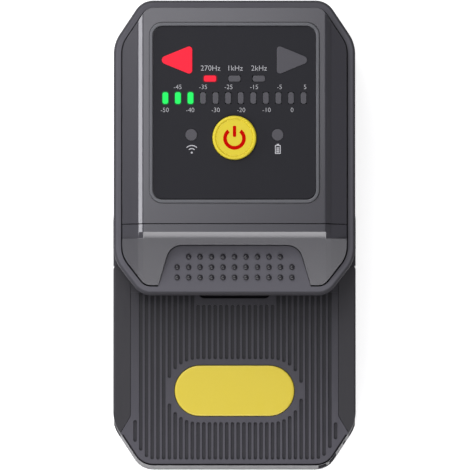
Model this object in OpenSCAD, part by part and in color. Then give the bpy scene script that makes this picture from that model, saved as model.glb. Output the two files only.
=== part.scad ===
// Hand-held optical fibre identifier, lying on its back.
// Millimetres. X runs across the body, Y runs from the handle end to the hinge end, and Z is up.
// The origin is at the middle of the back face. The head hinges on the base at the far end.

/* [Base] */
// Width across the side grips
body_w = 58; // [57:0.25:59]
// Length from the handle end to the hinge end
body_l = 111.4; // [111:0.2:113]
// Height of the handle front above the back face
handle_h = 18; // [17.7:0.1:18.2]
// Height of the neck deck under the head
deck_h = 19.6; // [19.4:0.1:19.7]
// Height of the seam between the back shell and the front covers
split_h = 9.6; // [9.2:0.1:10]
// Wall of the mouldings
wall = 1.8; // [1.6:0.05:1.9]
// Thickness of the floor and of the front faces
face_t = 2; // [1.9:0.05:2.1]
// Width of each corner cut, across the body
cut_w = 6.8; // [6:0.1:7.4]
// Length of each corner cut, along the body
cut_l = 10.4; // [9.6:0.1:11]
// Radius where a side meets a corner cut
side_r = 8.5; // [6:0.5:9]
// Radius where an end meets a corner cut
end_r = 5; // [4:0.25:5.5]
// Radius of the edge round the back face
back_r = 2; // [1.2:0.1:2.4]
// Width of the seams between fixed pieces
seam = 0.1; // [0.06:0.02:0.14]

/* [Handle] */
// Distance from the side of the base to the first groove between the ribs
rib_side = 7.08; // [6.8:0.04:7.4]
// Number of grooves
groove_count = 33; // [29:1:33]
// Width of the groove between two ribs
groove_w = 0.88; // [0.7:0.02:0.96]
// Depth of the groove between two ribs
groove_d = 0.4; // [0.2:0.05:0.5]
// Smooth border at the end of the ribs
rib_border = 1.4; // [1.2:0.1:2]
// Length of the capsule plate
plate_l = 28.7; // [26:0.5:31]
// Width of the capsule plate
plate_w = 12.2; // [11:0.2:13]
// Distance from the handle end to the middle of the capsule plate
plate_up = 17.9; // [17:0.1:18.5]
// Width of the finger scoop
scoop_w = 17.4; // [14:0.2:19]
// Depth of the finger scoop
scoop_d = 1.3; // [1:0.1:1.5]
// Width of a side grip on the front face
grip_w = 4.1; // [3.6:0.1:4.4]
// Thickness of a side grip
grip_t = 2; // [1.6:0.1:2.2]

/* [Head] */
// Distance that the sides of the head stand in from the sides of the base
head_step = 0.15; // [0.1:0.05:0.25]
// Length of the head as a share of the whole length
head_share = 0.63106; // [0.63:0.001:0.634]
// Height of the head frame
frame_h = 6.5; // [6.4:0.05:6.7]
// Width of the rim round the head
rim_w = 1.75; // [1.6:0.05:1.9]
// Height of the raised face above the rim
face_rise = 3.9; // [3.7:0.1:4.1]
// Distance from the side of the head to the flat part of the raised face
flat_side = 7.05; // [6.85:0.1:7.65]
// Margin of the flat part beside the display bezel
bezel_side = 1.5; // [1.3:0.1:1.8]
// Length of the display bezel as a share of the head
bezel_share = 0.6145; // [0.6065:0.002:0.6205]
// Radius of the power button
button_r = 5.25; // [4.8:0.05:5.5]
// Travel of the power button
button_travel = 0.4; // [0.3:0.05:0.4]
// Number of level bars
bar_count = 12; // [8:1:12]
// Diameter of a thumb pad dome
dome_d = 1.3; // [1.1:0.05:1.5]
// Margin of the thumb pad beside the rows of domes
dome_side = 4.5; // [4.2:0.1:5.5]

/* [Hinge] */
// Radius of the rounded hinge end
barrel_r = 4; // [3.9:0.05:4.1]
// Diameter of the hinge pin
pin_d = 2.4; // [2.2:0.05:2.6]
// Radial clearance of pins in their bores
fit = 0.05; // [0.02:0.01:0.08]
// Turns of the hinge spring
spring_turns = 5; // [4:1:5]

/* [Hidden] */

// General values
over = 1;
arc_steps = 4;
round_fn = 48;
small_fn = 24;

// Colours
grey = [0.40, 0.40, 0.42];
dark_grey = [0.27, 0.27, 0.29];
panel_grey = [0.2, 0.2, 0.22];
yellow = [0.93, 0.82, 0.25];
red = [0.9, 0.15, 0.2];
green = [0.2, 0.8, 0.35];
pale_grey = [0.5, 0.5, 0.52];
board_green = [0.1, 0.35, 0.2];
steel = [0.75, 0.76, 0.78];
brass = [0.8, 0.65, 0.3];
black = [0.08, 0.08, 0.08];

// Base places
base_lo = -body_l / 2;
base_hi = body_l / 2;
half_w = body_w / 2;
rib_pitch = 2 * (half_w - rib_side) / (groove_count - 1);
rib_shift = 0.885;
plate_bevel = 0.4;
groove_floor_share = 0.8;
scoop_l = 4.2;
scoop_out = 1.95;
neck_step = 0.2;
neck_step_l = 3;
neck_step_r = 8;
neck_step_up = 58.6;
cut = [cut_w, cut_l];
hinge_y = base_hi - barrel_r;
hinge_z = deck_h - barrel_r;
edge_r = 0.6;

// Head places
head_gap = 0.4;
head_setback = 0.5;
head_w = body_w - 2 * head_step;
head_l = body_l * head_share;
head_z = deck_h + head_gap;
rim_z = head_z + frame_h;
face_z = rim_z + face_rise;
head_hi = base_hi - head_setback;
head_lo = head_hi - head_l;
head_cut_lo = [6.45, 8.3];
head_cut_hi = [6.8, 10.2];
head_edge_r = 0.9;

// Fibre line, under the middle row of domes
fibre_up_share = 0.09075;
fibre_y = head_lo + head_l * fibre_up_share;
fibre_to_neck = 4.8;
neck_lo = fibre_y + fibre_to_neck;

// Side grips
grip_past_fibre = 0.62;
grip_lo_up = 11.9;
grip_slant = 4.1;
grip_z = 2.6;
grip_back_t = 1.8;
grip_lip_t = 1.6;
grip_hi = fibre_y + grip_past_fibre;
grip_lo = base_lo + grip_lo_up;
grip_mid = (grip_hi + grip_lo - grip_slant) / 2;
grip_back_half = (grip_hi - grip_lo + grip_slant) / 2 + wall;
grip_back_x = half_w - grip_t - grip_back_t / 2;
grip_lip_x = half_w - grip_w - grip_back_t / 2;
nick = 0.3;

// Battery bay
cell_r = 5.15;
cell_side = 7.2;
cell_l = body_w - 2 * cell_side;
nub_r = 1.9;
nub_l = 0.8;
cell_gap = 0.3;
cell_z = 7.5;
bay_up = 19.7;
bay_y = base_lo + bay_up;
bay_room = 0.25;
bay_end_room = 0.3;
bay_half_l = 2 * cell_r + cell_gap / 2 + bay_room;
bay_half_w = cell_l / 2 + nub_l + bay_end_room;
tray_t = 1.2;
contact_t = 0.3;
door_lip = 1.2;
door_t = 1.2;
door_plug_t = 0.7;
door_fit = 0.2;
door_reach = door_lip - door_fit;
door_corner_r = 1.6;
door_tab_w = 9;
door_tab_l = 5.4;
door_screw_up = 2.4;

// Screws: shank radius, head radius and head height
screw_r = 1.15;
screw_head_r = 1.9;
screw_head_h = 1.2;
screw_sink = 0.2;
boss_r = 2.5;
screw_tip = 3.6;
small_screw_r = 0.9;
small_head_r = 1.6;
small_head_h = 0.8;
small_boss_r = 2;

// Shell screws, two at the handle end, two by the fibre line and two in the neck
end_screw_in = 14.5;
end_screw_up = 4.15;
mid_screw_in = 6.1;
mid_screw_past_bay = 4.9;
neck_screw_down = 17.7;
shell_screw_places = [for (side = [-1, 1]) each [
    [side * (half_w - end_screw_in), base_lo + end_screw_up],
    [side * (half_w - mid_screw_in), bay_y + bay_half_l + mid_screw_past_bay],
    [side * (half_w - mid_screw_in), base_hi - neck_screw_down]]];

// Main board
board_t = 1.2;
board_side = 9.4;
board_gap = 3;
board_hinge_gap = 8;
board_half_w = half_w - board_side;
board_lo = neck_lo + board_gap;
board_hi = hinge_y - board_hinge_gap;
board_z = 9;
post_inset = 3;
chip_h = 1.4;
chip_half = 6.3;
can_half_w = 8.8;
can_half_l = 4.8;
board_posts = [for (x = [-1, 1]) for (y = [board_lo + post_inset, board_hi - post_inset])
    [x * (board_half_w - post_inset), y]];

// Anvil and presser
anvil_half_w = 10.5;
anvil_half_l = 3.5;
anvil_drop = 0.4;
anvil_top = deck_h - anvil_drop;
anvil_foot = split_h;
anvil_flange = 1.4;
trough_r = 9;
trough_d = 1.6;
trough_z = anvil_top - trough_d + trough_r;
nose_gap = 0.5;
nose_half_w = 6.5;
nose_half_l = 1.9;
diode_r = 2.3;
diode_l = 3.6;
diode_deep = 3.2;
diode_tilt = 25;
diode_x = 2.5;
light_r = 0.6;
presser_flange_t = 0.8;
presser_flange_half_w = 9;
presser_flange_half_l = 2.6;
presser_lift = 0.1;
stub_r = 1.4;
stub_h = 0.6;
press_coil_r = 1.95;
press_wire_r = 0.2;
press_turns = 2;

// Fibre guides
guide_half_l = 2.6;
guide_side = 3.7;
guide_l = 3.8;
guide_out = half_w - guide_side;
guide_in = guide_out - guide_l;
guide_floor = 0.3;
guide_mouth = 2.4;
guide_dowel_r = 1;
guide_dowel_in = 1.5;
guide_top = deck_h;
port_r = 1.8;

// Head chassis
chassis_t = 1.4;
chassis_top = head_z + chassis_t;
channel_half_l = 3;
channel_t = 0.85;
knuckle_r = 3.1;
knuckle_in = 9.8;
knuckle_w = 5.4;
knuckle_web = 2.2;
pocket_r = 3.4;
pocket_gap = 0.15;
pin_half_l = 19;
barrel_back = 4.4;
spring_in = 0.8;
spring_out = 8.6;
head_screw_in = 5.55;
head_screw_x = head_w / 2 - head_screw_in;
head_screw_hi = 10.2;
head_screw_lo = 23.1;
head_screw_places = [for (x = [-1, 1]) for (y = [head_hi - head_screw_hi, head_lo + head_screw_lo])
    [x * head_screw_x, y]];
head_boss_r = 2.2;
ledge_w = 1.1;
ledge_t = 1.3;

// Covers of the head
cover_t = 1.9;
cover_wall = 1.5;
cover_sink = 1.9;
cover_gap = 0.35;
cover_foot = rim_z - cover_sink;
flat_half = head_w / 2 - flat_side;
bevel_w = 1.2;
bevel_drop = 1;
flank_drop = 1.13;
seam_up_share = 0.2356;
bend_down = 1.96;
bend_l = 1.5;
seam_y = head_lo + head_l * seam_up_share;
bend_hi = seam_y - bend_down;
bend_lo = bend_hi - bend_l;
bend_drop = 0.75;
chin_drop = 3.15;
chin_bevel_rise = 0.5;

// Thumb pad
pad_t = 1.6;
pad_up_share = 0.1636;
pad_up = head_l * pad_up_share;
pad_side_top = 13.55;
pad_side_low = 10.65;
pad_half_top = head_w / 2 - pad_side_top;
pad_half_low = head_w / 2 - pad_side_low;
pad_r = 3.8;
pad_foot_r = 0.4;
dome_h = 0.55;
dome_row = 2.47;
dome_counts = [9, 11, 11];
dome_pitch = 2 * (pad_half_low - dome_side) / (max(dome_counts) - 1);

// Display
bezel_down_share = 0.07966;
bezel_w = 2 * (flat_half - bezel_side);
bezel_l = head_l * bezel_share;
bezel_r = 3.1;
bezel_bar = 0.85;
bezel_rise = 0.35;
bezel_sink = 0.6;
panel_t = 1.2;
panel_ledge = 1.5;
panel_hi = head_hi - head_l * bezel_down_share;
lens_fit = 0.06;
lens_rise = 0.1;
lens_t = 1.9;
arrow_down_share = 0.2083;
arrow_half_h = 3.4;
arrow_l = 7.5;
arrow_r = 0.7;
arrow_tip_share = 0.4335;
arrow_tip = bezel_w * arrow_tip_share;
frequency_down_share = 0.3113;
frequency_pitch_share = 0.1404;
frequency_size = [2.9, 1.35];
bar_down_share = 0.419;
bar_pitch_share = 0.0739;
bar_size = [1.37, 2.7];
button_down_share = 0.6389;
button_y = panel_hi - bezel_l * button_down_share;
status_x_share = 0.2537;
status_down_share = 0.6227;
status_r = 1.4;
button_rise = 0.8;
button_edge = 0.5;
button_fit = 0.1;
button_flange = 0.7;
button_flange_t = 0.7;
button_gap = 0.2;
display_board_side = 8.35;
display_board_up = 5.6;
display_board_half_w = head_w / 2 - display_board_side;
display_board_z = head_z + display_board_up;
display_post_inset = 2.6;
lamp_h = 1.2;
lamp_size = 1.2;
arrow_lamp_in = 5;
switch_w = 6;
switch_h = 0.7;
switch_stem_r = 1.6;

// Stop bumpers
bumper_side = 9;
bumper_up = 8;
bumper_x = half_w - bumper_side;
bumper_y = neck_lo + bumper_up;
bumper_r = 2;
bumper_in = 1.5;
bumper_free = 0.05;

// Lanyard recess in the lower right corner
lanyard_side = 6.9;
lanyard_x = half_w - lanyard_side;
lanyard_w = 4;
lanyard_in = 3.4;
lanyard_lo = 5.5;
lanyard_hi = 12.5;
lanyard_pin_r = 0.75;
lanyard_pin_in = 1.5;
lanyard_seat = 1.5;
slit_w = 1.1;
slit_side = 3;
slit_up = 6.2;

// Hinge spring and head cable
coil_wire_r = 0.25;
coil_r = 2.15;
coil_pitch = 1.05;
curl_rings = 8;
tube_sides = 6;
cable_t = 0.25;
cable_in = 1.7;
cable_w = 6;
cable_back = 9.6;
spring_leg = 6.4;

// A point turned about the origin
function turned(p, a) = [p.x * cos(a) - p.y * sin(a), p.x * sin(a) + p.y * cos(a)];

// The arc of radius r that rounds the corner b of the path a, b, c
function corner_arc(a, b, c, r, steps) =
    let (
        u = (a - b) / norm(a - b),
        v = (c - b) / norm(c - b),
        half = acos(u * v) / 2,
        centre = b + (u + v) / norm(u + v) * r / sin(half),
        from = b + u * r / tan(half) - centre,
        way = sign(u.y * v.x - u.x * v.y)
    )
    [for (i = [0 : steps]) centre + turned(from, way * (180 - 2 * half) * i / steps)];

// An outline with each corner rounded by its own radius
function rounded(points, radii, steps = arc_steps) =
    let (n = len(points))
    [for (i = [0 : n - 1])
        each corner_arc(points[(i + n - 1) % n], points[i], points[(i + 1) % n], radii[i], steps)];

// Distance of the corner-cut line from the origin, for a corner cut c of a half width and an end
function cut_reach(half, end, c) = (c.y * half + c.x * (end - c.y)) / norm(c);

// Where the cut line, moved in by d, meets the side and the end
function cut_side_y(half, end, c, d) =
    ((cut_reach(half, end, c) - d) * norm(c) - c.y * (half - d)) / c.x;
function cut_end_x(half, end, c, d) =
    ((cut_reach(half, end, c) - d) * norm(c) - c.x * (end - d)) / c.y;

// Outline of the base, moved in by d
function base_outline(d = 0) =
    let (
        side_lo = -cut_side_y(half_w, -base_lo, cut, d),
        side_hi = cut_side_y(half_w - neck_step, base_hi, cut, d),
        end_lo = cut_end_x(half_w, -base_lo, cut, d),
        end_hi = cut_end_x(half_w - neck_step, base_hi, cut, d),
        step = base_lo + neck_step_up,
        right = [
            [end_lo, base_lo + d],
            [half_w - d, side_lo],
            [half_w - d, step],
            [half_w - neck_step - d, step + neck_step_l],
            [half_w - neck_step - d, side_hi],
            [end_hi, base_hi - d]],
        left = [for (i = [5 : -1 : 0]) [-right[i].x, right[i].y]],
        radii = [end_r - d, side_r - d, neck_step_r, neck_step_r, side_r - d, end_r - d]
    )
    rounded(concat(right, left), concat(radii, [for (i = [5 : -1 : 0]) radii[i]]));

// Outline of the head, moved in by d
function head_outline(d = 0) =
    let (
        half = head_w / 2,
        right = [
            [cut_end_x(half, -head_lo, head_cut_lo, d), head_lo + d],
            [half - d, -cut_side_y(half, -head_lo, head_cut_lo, d)],
            [half - d, cut_side_y(half, head_hi, head_cut_hi, d)],
            [cut_end_x(half, head_hi, head_cut_hi, d), head_hi - d]],
        left = [for (i = [3 : -1 : 0]) [-right[i].x, right[i].y]],
        radii = [end_r - d, side_r - d, side_r - d, end_r - d]
    )
    rounded(concat(right, left), concat(radii, [for (i = [3 : -1 : 0]) radii[i]]));

// Outline of the thumb pad, grown by d
function pad_outline(d = 0) =
    let (top = head_lo + pad_up + d)
    rounded([
        [pad_half_low + d, head_lo + rim_w],
        [pad_half_top + d, top],
        [-pad_half_top - d, top],
        [-pad_half_low - d, head_lo + rim_w]],
        [pad_foot_r, pad_r, pad_r, pad_foot_r]);

// Heights and insets of a quarter round edge of radius r
function edge_levels(r, steps = 3) =
    [for (i = [0 : steps]) [r * (1 - cos(90 * i / steps)), r * (1 - sin(90 * i / steps))]];

// Straight prism on an outline
module slab(points, z0, z1) {
    translate([0, 0, z0])
        linear_extrude(z1 - z0)
            polygon(points);
}

// Solid through outlines of equal point counts, given as [height, outline] pairs
module loft(levels) {
    n = len(levels[0][1]);
    rows = len(levels);
    points = [for (level = levels) for (p = level[1]) [p.x, p.y, level[0]]];
    sides = [for (r = [0 : rows - 2]) for (i = [0 : n - 1])
        let (a = r * n + i, b = r * n + (i + 1) % n)
        each [[a, a + n, b + n], [a, b + n, b]]];
    polyhedron(points, concat(
        [[for (i = [0 : n - 1]) i]],
        sides,
        [[for (i = [n - 1 : -1 : 0]) (rows - 1) * n + i]]));
}

// Block centred on x and y, from z0 to z1
module block(half_x, half_y, z0, z1) {
    translate([-half_x, -half_y, z0])
        cube([2 * half_x, 2 * half_y, z1 - z0]);
}

// Cylinder from z0 to z1
module post(r, z0, z1, fn = round_fn) {
    translate([0, 0, z0])
        cylinder(r = r, h = z1 - z0, $fn = fn);
}

// Cylinder along X, between two places
module rod_x(r, x0, x1, fn = round_fn) {
    translate([x0, 0, 0])
        rotate([0, 90, 0])
            cylinder(r = r, h = x1 - x0, $fn = fn);
}

// Profile in the Y-Z plane, drawn as [y, z], made solid from x0 to x1
module side_prism(points, x0, x1) {
    translate([x0, 0, 0])
        rotate([90, 0, 90])
            linear_extrude(x1 - x0)
                polygon(points);
}

// Profile in the X-Z plane, drawn as [x, z], made solid from y0 to y1
module front_prism(points, y0, y1) {
    translate([0, y1, 0])
        rotate([90, 0, 0])
            linear_extrude(y1 - y0)
                polygon(points);
}

// Capsule shape of a full width and length, with its long side along X
module capsule(l, w, z0, z1) {
    straight = (l - w) / 2;
    block(straight, w / 2, z0, z1);
    for (side = [-1, 1])
        translate([side * straight, 0, 0])
            post(w / 2, z0, z1);
}

// Rounded rectangle outline
function round_rect(half_x, half_y, r) =
    rounded([[half_x, -half_y], [half_x, half_y], [-half_x, half_y], [-half_x, -half_y]],
        [r, r, r, r]);

// Tube of equal rings along a path of points in space, with flat ends
module swept_tube(path, r, sides) {
    n = len(path);
    points = [for (i = [0 : n - 1])
        let (
            ahead = path[min(i + 1, n - 1)] - path[max(i - 1, 0)],
            t = ahead / norm(ahead),
            side = cross(t, abs(t.x) > 0.9 ? [0, 0, 1] : [1, 0, 0]),
            u = side / norm(side),
            v = cross(u, t)
        )
        for (k = [0 : sides - 1])
            path[i] + r * (cos(360 * k / sides) * u + sin(360 * k / sides) * v)];
    skin = [for (i = [0 : n - 2]) for (k = [0 : sides - 1])
        let (a = i * sides + k, b = i * sides + (k + 1) % sides)
        each [[a, b, b + sides], [a, b + sides, a + sides]]];
    polyhedron(points, concat(
        [[for (k = [sides - 1 : -1 : 0]) k]],
        skin,
        [[for (k = [0 : sides - 1]) (n - 1) * sides + k]]));
}

// Screw with its head down, from the back
module screw_up(r, head_r, head_h, head_z0, tip_z) {
    post(head_r, head_z0, head_z0 + head_h, small_fn);
    post(r, head_z0 + head_h, tip_z, small_fn);
}

// Screw with its head up, from the front
module screw_down(r, head_r, head_h, seat_z, tip_z) {
    post(head_r, seat_z, seat_z + head_h, small_fn);
    post(r, tip_z, seat_z, small_fn);
}

// Plan area of the right side grip, grown by d
function grip_area(d = 0) = [
    [half_w - grip_w - d, grip_lo - d],
    [half_w + over, grip_lo - grip_slant - over - d],
    [half_w + over, grip_hi + d],
    [half_w - grip_w - d, grip_hi + d]];

// Space that the right side grip takes, grown by d
module grip_space(d = 0) {
    intersection() {
        slab(grip_area(d), grip_z - d, handle_h + over);
        union() {
            translate([half_w - grip_t - d, base_lo, 0])
                cube([grip_t + d + over, body_l, handle_h + over]);
            translate([half_w - grip_w - d, base_lo, handle_h - grip_lip_t - d])
                cube([grip_w + d + over, body_l, grip_lip_t + d + over]);
        }
    }
}

// Upright groove on both sides at the upper end of the grips
module grip_nick() {
    for (side = [-1, 1])
        translate([side * half_w, grip_hi, 0])
            rotate([0, 0, 45])
                block(nick, nick, -over, deck_h + over);
}

// Outer form of the handle, from the back face to the handle front
module handle_form() {
    back = edge_levels(back_r);
    front = edge_levels(edge_r);
    loft(concat(
        [for (l = back) [l.x, base_outline(l.y)]],
        [for (i = [len(front) - 1 : -1 : 0]) [handle_h - front[i].x, base_outline(front[i].y)]]));
}

// Recess for the lanyard in the lower right corner, with its slit in the corner cut
module lanyard_recess() {
    translate([lanyard_x - lanyard_w / 2, base_lo - over, lanyard_lo])
        cube([lanyard_w, lanyard_in + over, lanyard_hi - lanyard_lo]);
    translate([half_w - slit_side, base_lo + slit_up, 0])
        rotate([0, 0, atan2(cut_l, cut_w) - 90])
            translate([-lanyard_in, -slit_w / 2, lanyard_lo])
                cube([lanyard_in + 2 * over, slit_w, lanyard_hi - lanyard_lo]);
}

// Solid wall round the lanyard recess
module lanyard_block(z0, z1) {
    intersection() {
        slab(base_outline(seam), z0, z1);
        translate([lanyard_x - lanyard_w / 2 - wall, base_lo, z0])
            cube([half_w, lanyard_in + 2 * wall, z1 - z0]);
    }
}

module back_shell() {
    color(grey)
    difference() {
        union() {
            difference() {
                intersection() {
                    handle_form();
                    block(body_w, body_l, 0, split_h);
                }
                slab(base_outline(wall), face_t, split_h + over);
            }
            // Walls behind the side grips
            intersection() {
                slab(base_outline(seam), face_t - seam, split_h);
                for (side = [-1, 1])
                    translate([side * grip_back_x, grip_mid, 0])
                        block(grip_back_t / 2, grip_back_half, face_t - seam, split_h);
            }
            // Screw bosses
            for (p = shell_screw_places)
                translate(p)
                    post(boss_r, face_t - seam, split_h);
            // Battery tray
            for (side = [-1, 1]) {
                translate([0, bay_y + side * (bay_half_l + tray_t / 2), 0])
                    block(bay_half_w + contact_t + tray_t, tray_t / 2, face_t - seam, split_h);
                translate([side * (bay_half_w + contact_t + seam + tray_t / 2), bay_y, 0])
                    block(tray_t / 2, bay_half_l + tray_t, face_t - seam, split_h);
            }
            // Boss of the door screw
            translate([0, bay_y + bay_half_l + door_lip + door_screw_up, 0])
                post(boss_r, face_t - seam, split_h);
            // Posts of the main board
            for (p = board_posts)
                translate(p)
                    post(small_boss_r, face_t - seam, board_z);
            // Ribs that carry the anvil
            for (side = [-1, 1])
                translate([side * (anvil_half_w - wall), fibre_y, 0])
                    block(wall / 2, anvil_half_l, face_t - seam, anvil_foot - seam);
            lanyard_block(face_t - seam, split_h);
        }
        // Screw holes
        for (p = shell_screw_places)
            translate(p) {
                post(screw_head_r + 2 * fit, -over, screw_sink + screw_head_h, small_fn);
                post(screw_r + fit, 0, split_h + over, small_fn);
            }
        // Holes in the board posts
        for (p = board_posts)
            translate(p)
                post(small_screw_r + fit, board_z - screw_tip, board_z + over, small_fn);
        // Battery door opening and its recess
        translate([0, bay_y, 0]) {
            block(bay_half_w - door_lip, bay_half_l - door_lip, -over, face_t + over);
            slab(round_rect(bay_half_w + door_lip, bay_half_l + door_lip, door_corner_r), -over,
                door_t + seam);
            translate([0, bay_half_l + door_lip, 0])
                block(door_tab_w / 2 + door_fit, door_tab_l + door_fit, -over, door_t + seam);
            translate([0, bay_half_l + door_lip + door_screw_up, 0])
                post(screw_r + fit, 0, split_h - wall, small_fn);
        }
        // Side grips
        grip_space(seam);
        mirror([1, 0, 0])
            grip_space(seam);
        grip_nick();
        lanyard_recess();
        translate([lanyard_x, base_lo + lanyard_pin_in, 0])
            post(lanyard_pin_r + fit, lanyard_lo - lanyard_seat, split_h + over, small_fn);
    }
}

// Grooves between the ribs of the handle
module rib_grooves() {
    floor_half = groove_w * groove_floor_share / 2;
    intersection() {
        for (i = [0 : groove_count - 1])
            translate([rib_shift + (i - (groove_count - 1) / 2) * rib_pitch, 0, 0])
                front_prism([
                    [-groove_w / 2, handle_h + seam],
                    [-floor_half, handle_h - groove_d],
                    [floor_half, handle_h - groove_d],
                    [groove_w / 2, handle_h + seam]], base_lo, head_lo + rim_w);
        slab(base_outline(rib_border), handle_h - over, handle_h + over);
    }
}

// Finger scoop under the lower edge of the head
module finger_scoop() {
    half = scoop_l / 2;
    r = (half * half + scoop_d * scoop_d) / (2 * scoop_d);
    translate([0, head_lo - scoop_out + half, handle_h + r - scoop_d])
        rod_x(r, -scoop_w / 2, scoop_w / 2);
}

module handle_cover() {
    color(dark_grey)
    difference() {
        union() {
            difference() {
                intersection() {
                    handle_form();
                    translate([-body_w, base_lo - over, split_h + seam])
                        cube([2 * body_w, neck_lo - seam - base_lo + over, handle_h]);
                }
                intersection() {
                    slab(base_outline(wall), split_h, handle_h - face_t);
                    translate([-body_w, base_lo, split_h])
                        cube([2 * body_w, neck_lo - seam - wall - base_lo, handle_h]);
                }
            }
            // Walls and ledges behind the side grips
            intersection() {
                slab(base_outline(seam), split_h + seam, handle_h - face_t + seam);
                for (side = [-1, 1]) {
                    translate([side * grip_back_x, grip_mid, 0])
                        block(grip_back_t / 2, grip_back_half, split_h + seam, handle_h);
                    translate([side * grip_lip_x, grip_mid, 0])
                        block(grip_w - grip_t + grip_back_t / 2, grip_back_half,
                            handle_h - face_t - grip_lip_t, handle_h);
                }
            }
            for (p = shell_screw_places)
                if (p.y < neck_lo)
                    translate(p)
                        post(boss_r, split_h + seam, handle_h - face_t + seam);
            // Cradles that hold the cells down
            for (side = [-1, 1])
                translate([side * cell_l / 3, bay_y, 0])
                    block(wall / 2, bay_half_l, cell_z + cell_r / 2, handle_h - face_t + seam);
            lanyard_block(split_h + seam, handle_h - face_t + seam);
        }
        for (p = shell_screw_places)
            translate(p)
                post(screw_r + fit, split_h, split_h + screw_tip + seam, small_fn);
        for (side = [-1, 1])
            translate([0, bay_y + side * (cell_r + cell_gap / 2), cell_z])
                rod_x(cell_r + door_fit, -bay_half_w, bay_half_w);
        difference() {
            rib_grooves();
            translate([0, base_lo + plate_up, 0])
                capsule(plate_l + 2 * rib_border, plate_w + 2 * rib_border, 0, handle_h + over);
            translate([0, head_lo, 0])
                block(scoop_w / 2 + rib_border / 2, scoop_out + rib_border / 2, 0, handle_h + over);
        }
        translate([0, base_lo + plate_up, 0])
            capsule(plate_l + 2 * seam, plate_w + 2 * seam, handle_h - face_t / 2 - seam, handle_h + over);
        finger_scoop();
        // Window of the anvil
        translate([0, fibre_y, 0]) {
            block(anvil_half_w + seam, anvil_half_l + seam, split_h, handle_h + over);
            block(anvil_half_w + anvil_flange + seam, anvil_half_l + seam, split_h, handle_h - face_t);
        }
        // Holes of the fibre guides
        for (side = [-1, 1])
            translate([side * (guide_in + guide_dowel_in), fibre_y, 0])
                post(guide_dowel_r + fit, handle_h - face_t - over, handle_h + over, small_fn);
        grip_space(seam);
        mirror([1, 0, 0])
            grip_space(seam);
        grip_nick();
        lanyard_recess();
        translate([lanyard_x, base_lo + lanyard_pin_in, 0])
            post(lanyard_pin_r + fit, split_h - over, lanyard_hi + lanyard_seat, small_fn);
    }
}

module side_grip_right() {
    color(dark_grey)
    difference() {
        intersection() {
            handle_form();
            grip_space();
        }
        grip_nick();
    }
}

module side_grip_left() {
    mirror([1, 0, 0])
        side_grip_right();
}

// Bare capsule plate with a bevelled edge
module name_plate() {
    bevel = plate_bevel;
    floor_z = handle_h - face_t / 2;
    top_z = handle_h + seam;
    straight = (plate_l - plate_w) / 2;
    color(yellow)
    translate([0, base_lo + plate_up, 0]) {
        capsule(plate_l, plate_w, floor_z, top_z - bevel);
        for (side = [-1, 1])
            translate([side * straight, 0, top_z - bevel])
                cylinder(r1 = plate_w / 2, r2 = plate_w / 2 - bevel, h = bevel, $fn = round_fn);
        side_prism([
            [-plate_w / 2, top_z - bevel],
            [plate_w / 2, top_z - bevel],
            [plate_w / 2 - bevel, top_z],
            [-plate_w / 2 + bevel, top_z]], -straight, straight);
    }
}

module lanyard_pin() {
    color(black)
    translate([lanyard_x, base_lo + lanyard_pin_in, 0])
        post(lanyard_pin_r, lanyard_lo - lanyard_seat + seam, lanyard_hi + lanyard_seat - seam, small_fn);
}

module neck_deck() {
    color(dark_grey)
    difference() {
        union() {
            difference() {
                // Outer form with the rounded hinge end
                intersection() {
                    slab(base_outline(), split_h + seam, deck_h);
                    union() {
                        translate([-body_w, neck_lo, 0])
                            cube([2 * body_w, hinge_y - neck_lo, deck_h]);
                        translate([-body_w, neck_lo, 0])
                            cube([2 * body_w, body_l, hinge_z]);
                        translate([0, hinge_y, hinge_z])
                            rod_x(barrel_r, -body_w, body_w);
                    }
                }
                intersection() {
                    slab(base_outline(wall), split_h, deck_h - face_t);
                    translate([-body_w, neck_lo + wall, split_h])
                        cube([2 * body_w, hinge_y - barrel_back - neck_lo - wall, deck_h]);
                }
            }
            for (p = shell_screw_places)
                if (p.y > neck_lo)
                    translate(p)
                        post(boss_r, split_h + seam, deck_h - face_t + seam);
        }
        for (p = shell_screw_places)
            translate(p)
                post(screw_r + fit, split_h, split_h + screw_tip + seam, small_fn);
        // Pockets of the head knuckles, open at the hinge end
        for (side = [-1, 1])
            translate([side * (knuckle_in + knuckle_w / 2), (base_hi + hinge_y + over - pocket_r) / 2, 0])
                block(knuckle_w / 2 + pocket_gap, (base_hi - hinge_y + over + pocket_r) / 2,
                    hinge_z - pocket_r, deck_h + over);
        // Pocket of the spring and slot of the cable
        translate([-spring_out, hinge_y - 2 * barrel_r, hinge_z - pocket_r])
            cube([spring_out - spring_in, 2 * barrel_r + pocket_r, barrel_r + pocket_r + over]);
        translate([spring_in, hinge_y - 3 * barrel_r, hinge_z - pocket_r])
            cube([spring_out - spring_in, 2 * barrel_r + barrel_back / 2, barrel_r + pocket_r + over]);
        translate([0, hinge_y, hinge_z])
            rod_x(pin_d / 2 + fit, -pin_half_l - seam, pin_half_l + seam);
        for (side = [-1, 1])
            translate([side * bumper_x, bumper_y, 0])
                post(bumper_r + fit, deck_h - bumper_in - seam, deck_h + over, small_fn);
    }
}

module battery_door() {
    color(grey)
    difference() {
        translate([0, bay_y, 0]) {
            slab(round_rect(bay_half_w + door_reach, bay_half_l + door_reach, door_corner_r), 0, door_t);
            block(bay_half_w - door_lip - door_fit, bay_half_l - door_lip - door_fit, door_t - seam,
                door_t + door_plug_t);
            translate([0, bay_half_l + door_lip, 0])
                block(door_tab_w / 2, door_tab_l, 0, door_t);
        }
        translate([0, bay_y + bay_half_l + door_lip + door_screw_up, 0]) {
            post(screw_r + fit, -over, door_t + over, small_fn);
            post(screw_head_r + fit, -over, screw_sink + small_head_h / 2, small_fn);
        }
    }
}

module battery_door_screw() {
    color(steel)
    translate([0, bay_y + bay_half_l + door_lip + door_screw_up, 0])
        screw_up(screw_r, screw_head_r, small_head_h / 2, screw_sink, split_h - wall - seam);
}

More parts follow.
